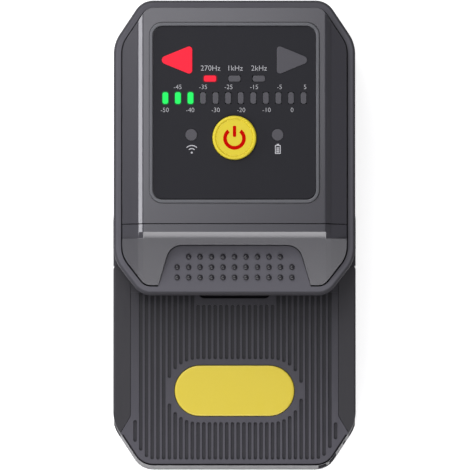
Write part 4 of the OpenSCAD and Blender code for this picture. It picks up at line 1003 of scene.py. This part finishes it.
def grip_end(side, d, low, high):
    """Lower end of a side grip, grown by d, which ends on a steep slant."""
    x, out, top, heel, tip = SLANT_X - d, 29.6, -43.0, -43.8 - 0.6 * d, -51.8 - 1.9 * d
    points = rounded([(x, top), (out, top), (out, tip), (x, heel)], [0.02, 0.02, 0.02, 1.0])
    return slab("end", [Vector((side * p.x, p.y)) for p in points], low, high)


def lanyard_mouth():
    """Cutter of the lanyard recess."""
    return block("mouth", (20.1, 24.3), (-60, -52.3), (5.4, 16.9))


def closest(point, a, b):
    """Nearest point of the line from a to b."""
    span = b - a
    return a + span * max(0, min(1, (point - a).dot(span) / span.length_squared))


def draft(obj):
    """Leans the wall of the handle end outwards towards the back, as moulded walls do."""
    rim = base_outline()
    for vert in obj.data.vertices:
        flat = Vector(vert.co[:2])
        if flat.y > DRAFT_HIGH or abs(flat.x) > BODY_HALF - 0.05:
            continue
        away, normal = min(((flat - closest(flat, a, b)).length, tuple((b - a).orthogonal().normalized()))
                           for a, b in zip(rim, rim[1:] + rim[:1]) if (b - a).length > 1e-4)
        if away < 0.08:
            share = EDGE_OUT * (1 - vert.co.z / HANDLE_H) * (1 if Vector(normal).dot(flat) > 0 else -1)
            vert.co.x += normal[0] * share
            vert.co.y += normal[1] * share
    return obj


def handle_front(grooves):
    """Front cover of the handle: the CAD form below, and a fresh ribbed top with round-ended grooves."""
    low, under, over = HANDLE_H - TOP_T, HANDLE_H - TOP_T - 1, HANDLE_H + 1
    below = draft(from_node("handle_front", "handle_cover"))
    combine(below, [block("top", (-40, 40), (-70, COVER_HIGH), (low, HANDLE_H + 3))])
    cover = slab("ribbed_top", base_outline(), low, HANDLE_H)
    combine(cover, [block("keep", (-30, 30), (-70, COVER_HIGH - 0.02), (under, over))], "INTERSECT")
    beside = [block("beside", (s * GRIP_X, s * 31), (GRIP_LOW_Y, -10), (under, over)) for s in (-1, 1)]
    hole = slab("hole", capsule_outline(-0.1), 10, 20)
    ends, more_ends = ([grip_end(s, 0.1, SPLIT_H - 1, over) for s in (-1, 1)] for _ in range(2))
    combine(cover, beside + ends + [hole, scoop_form(), groove_cutter(grooves), end_groove()])
    combine(below, more_ends + [lanyard_mouth()])
    whole = join("ribbed_cover", [ease(cover, 0.08, angle=35), ease(below, 0.06, angle=35)])
    settle(whole, "base", "shell_grey", "handle_cover", finish="rib_grey")


def back_case():
    """Back shell, with room for the ends of the side grips and for the lanyard."""
    case = draft(from_node("back_case", "back_shell"))
    combine(case, [grip_end(s, 0.1, 2.5, SPLIT_H + 1) for s in (-1, 1)] + [lanyard_mouth()])
    settle(ease(case, 0.1), "base", "shell_grey", "back_shell")


def side_grip(name, node, side):
    """Side grip with its lower end drawn down to the steep slant."""
    end = grip_end(side, 0.0, 2.65, HANDLE_H - 0.005)
    combine(end, [slab("edge", base_outline(0.005), 0, 20)], "INTERSECT")
    settle(ease(combine(from_node(name, node), [end], "UNION"), 0.14), "base", "grip_rubber", node)


def lanyard_bar():
    """Waisted bar across the lanyard recess."""
    low, high, thick, waist = 4.0, 17.3, 0.75, 0.62
    profile = [(0.55, low), (thick, low + 0.2), (thick, low + 2.0), (waist, low + 2.8), (waist, high - 2.6),
               (thick, high - 1.8), (thick, high - 0.2), (0.55, high)]
    bar = turned_form("lanyard_bar", profile, (22.1, -54.2), 32)
    settle(shade(bar, 40), "base", "black_plastic", "lanyard_pin")


# ---- Screws, springs and cable ----

def cross_screws(tree, name, node, body, up, places, sizes):
    """Screws with a cross recess. Each place is the foot of a head, which looks up or down."""
    labels = ("head_radius", "head_height", "shank_radius", "shank_length")
    screws = grow(plain(name, [(0, 0, 0)]), tree, material=finishes["screw_steel"], **dict(zip(labels, sizes)))
    turn = Matrix.Identity(4) if up else Matrix.Rotation(pi, 4, "X")
    parts = []
    for place in places:
        parts.append(placed("screw", screws.data.copy()))
        parts[-1].data.transform(Matrix.Translation(place) @ turn)
    bpy.data.objects.remove(screws)
    settle(shade(join(name, parts), 35), body, "screw_steel", node)


def all_screws():
    """Every screw of the part."""
    tree = screw_tree()

    def four(x, ys, z):
        return [(s * x, y, z) for s in (-1, 1) for y in ys]

    low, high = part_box("display_board_screws")
    inner = (1000 * low[1] + 1.6, 1000 * high[1] - 1.6)
    shell = [(s * x, y, 1.4) for s in (-1, 1) for x, y in ((14.5, -51.55), (22.9, -20.4), (22.9, 38.0))]
    for name, node, body, up, places, sizes in (
            ("shell_screws_crossed", "shell_screws", "base", False, shell, (1.9, 1.2, 1.15, 11.8)),
            ("door_screw_crossed", "battery_door_screw", "base", False, [(0, -21.7, 0.6)], (1.9, 0.4, 1.15, 7.1)),
            ("board_screws_crossed", "main_board_screws", "base", True, four(16.6, (2.08, 40.7), 10.2),
             (1.6, 0.8, 0.9, 4.7)),
            ("head_screws_crossed", "head_screws", "head", False, four(23.3, (45.0, 8.0), 20.9),
             (1.6, 0.8, 0.9, 1.9)),
            ("display_screws_crossed", "display_board_screws", "head", True, four(17.9, inner, 26.8),
             (1.6, 0.8, 0.9, 3.6))):
        cross_screws(tree, name, node, body, up, places, sizes)


def wire_piece(name, path, radius, tree):
    """A round wire along a path."""
    steps = [(i, i + 1) for i in range(len(path) - 1)]
    return grow(plain(name, path, steps), tree, radius=radius, material=finishes["screw_steel"])


def springs(tree):
    """Hinge spring coiled round the hinge, and presser spring coiled over the fibre line, which rides on the head."""
    left, length, r, foot_y = -7.325, 5.25, 2.15, HINGE_Y - 6.4
    turns, steps = 5.5, 176
    coil = arc(HINGE_Y, HINGE_Z, r, -pi / 2, turns * 2 * pi, steps)
    path = [(left, foot_y, HINGE_Z - r)] + [(left + length * i / steps, p.x, p.y) for i, p in enumerate(coil)]
    path.append((left + length, foot_y, HEAD_Z - 0.45))
    spring = wire_piece("hinge_spring_wire", path, 0.25, tree)
    settle(spring, None, "screw_steel", "hinge_spring")
    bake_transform(spring)

    low, high, r = 22.55, 24.65, 1.95
    turns, steps = 2, 48
    coil = [(p.x, p.y, low + (high - low) * i / steps)
            for i, p in enumerate(arc(0, FIBRE_Y, r, 0, turns * 2 * pi, steps))]
    small = wire_piece("presser_spring_wire", coil, 0.2, tree)
    settle(small, "head", "screw_steel", "presser_spring")
    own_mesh(small)


def flat_cable():
    """Flat cable that bows from the main board up into the head."""
    thick, left, right = 0.25, 1.7, 7.7
    line = [Vector(p) for p in ((42.7, 12.45), (43.1, 15.6), (42.1, 19.6), (42.1, 21.4), (40.1, 24.35),
                                (38.1, 25.35))]
    spans = [(b - a).length for a, b in zip(line, line[1:])]
    soft = softened(line, [min(a, b) * 0.4 for a, b in zip(spans, spans[1:])])
    rings = [[(x, p.x, p.y) for p in soft] + [(x, p.x - thick, p.y - thick / 4) for p in reversed(soft)]
             for x in (left, right)]
    cable = shade(loft("flat_cable", rings), 50)
    settle(cable, None, "cable_film", "head_cable")
    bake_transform(cable)


# ---- Putting it together ----

def build_base():
    """Every piece that stays with the base."""
    name_plate()
    handle_front(groove_tree())
    back_case()
    lanyard_bar()
    dressed("neck_block", "neck_deck", "base", "shell_grey", 0.14)
    side_grip("grip_left", "side_grip_left", -1)
    side_grip("grip_right", "side_grip_right", 1)
    dressed("door", "battery_door", "base", "shell_grey", 0.12)
    dressed("anvil_block", "fibre_anvil", "base", "black_plastic", 0.08)
    dressed("guide_blocks", "fibre_guides", "base", "black_plastic", 0.07)
    dressed("bumpers", "stop_bumpers", "base", "bumper_rubber", 0.2, 50)
    for node, finish in (("battery_cells", "cell_sleeve"), ("battery_contacts", "contact_metal"),
                         ("main_board", "circuit_board"), ("main_board_parts", "black_plastic"),
                         ("photodiodes", "screw_steel"), ("hinge_pin", "screw_steel")):
        repaint(node, finish)


def build_head():
    """Every piece that moves with the head."""
    head_rim()
    thumb_domes(dome_tree())
    display_hood()
    chin_hood()
    bezel_ring()
    dressed("panel_sheet", "display_panel", "head", "panel_dark", 0.05)
    lenses()
    power_button()
    power_symbol()
    panel_print()
    dressed("chassis_plate", "head_chassis", "head", "shell_grey", 0.1)
    dressed("presser_block", "presser", "fibre_presser", "black_plastic", 0.07)
    for node, finish in (("display_board", "circuit_board"), ("display_lamps", "lamp_white"),
                         ("power_switch", "black_plastic")):
        repaint(node, finish)


def soft_light(name, place, target, size, power, colour=(1, 1, 1)):
    """A plain soft lamp that looks at a target. Sizes and places are in metres."""
    lamp = bpy.data.lights.new(name, "AREA")
    lamp.shape, lamp.size, lamp.size_y = "RECTANGLE", size[0], size[1]
    lamp.energy, lamp.color = power, colour
    obj = placed(name, lamp)
    obj.location = place
    obj.rotation_euler = (Vector(target) - Vector(place)).to_track_quat("-Z", "Y").to_euler()
    obj.visible_camera = False


def camera_view():
    """A far camera that looks down on the front, a little from the handle end."""
    camera = bpy.data.cameras.new("camera")
    camera.lens, camera.sensor_width = 1200, 36
    camera.clip_start, camera.clip_end = 0.1, 20
    pixel, pixels, lean = 0.0002392, 470, radians(86.5)
    distance = pixel * pixels * camera.lens / camera.sensor_width
    back = Vector((0, -cos(lean), sin(lean)))
    obj = placed("camera", camera)
    obj.location = Vector((0.00012, -0.00061, 0.020)) + back * distance
    obj.rotation_mode = "QUATERNION"
    obj.rotation_quaternion = (-back).to_track_quat("-Z", "Y")
    bpy.context.scene.camera = obj


def when_seen(tree, also, low, high):
    """A strength that is high for the camera's rays and for one more kind, and low for the rest."""
    rays = put(tree, "ShaderNodeLightPath").outputs
    seen = first(tree, "ShaderNodeMath", {0: rays["Is Camera Ray"], 1: rays[also]}, operation="MAXIMUM")
    return spread_of(tree, seen, 0, 1, low, high)


def studio():
    """Camera, lamps, world and floor."""
    scene = bpy.context.scene
    scene.view_settings.view_transform = "Standard"
    camera_view()

    white = (1, 1, 1, 1)
    scene.world = bpy.data.worlds.new("world")
    tree = empty_tree(scene.world)
    light = first(tree, "ShaderNodeBackground", {0: white, 1: when_seen(tree, "Is Transmission Ray", 0.06, 1.0)})
    put(tree, "ShaderNodeOutputWorld", {0: light})

    cool, cooler = (0.985, 0.975, 1.0), (0.95, 0.945, 1.0)
    soft_light("left", (-0.36, 0.02, 0.09), (0, 0, 0.03), (0.5, 0.1), 0.88, cooler)
    soft_light("top", (-0.09, 0.118, 0.25), (-0.06, 0.07, 0.03), (0.15, 0.26), 0.22, cooler)
    soft_light("front", (0.0, -0.28, 0.285), (0, -0.01, 0.03), (0.5, 0.2), 1.22, cool)
    soft_light("rear", (-0.1, 0.36, 0.28), (0, 0, 0.02), (0.4, 0.4), 1.3)

    half, z = 4, -0.0004
    floor = plain("floor", [(-half, -half, z), (half, -half, z), (half, half, z), (-half, half, z)], (),
                  [(0, 1, 2, 3)])
    paint = bpy.data.materials.new("floor_paint")
    tree = empty_tree(paint)
    matt = first(tree, "ShaderNodeBsdfDiffuse", {0: (0.75, 0.75, 0.75, 1)})
    lift = first(tree, "ShaderNodeEmission", {0: white, 1: when_seen(tree, "Is Glossy Ray", 0, 0.68)})
    both = first(tree, "ShaderNodeAddShader", {0: matt, 1: lift})
    behind = put(tree, "ShaderNodeNewGeometry").outputs["Backfacing"]
    clear = first(tree, "ShaderNodeBsdfTransparent")
    put(tree, "ShaderNodeOutputMaterial", {0: first(tree, "ShaderNodeMixShader", {0: behind, 1: both, 2: clear})})
    floor.data.materials.append(paint)
    floor.visible_diffuse = False


build_base()
build_head()
all_screws()
springs(wire_tree())
flat_cable()
studio()
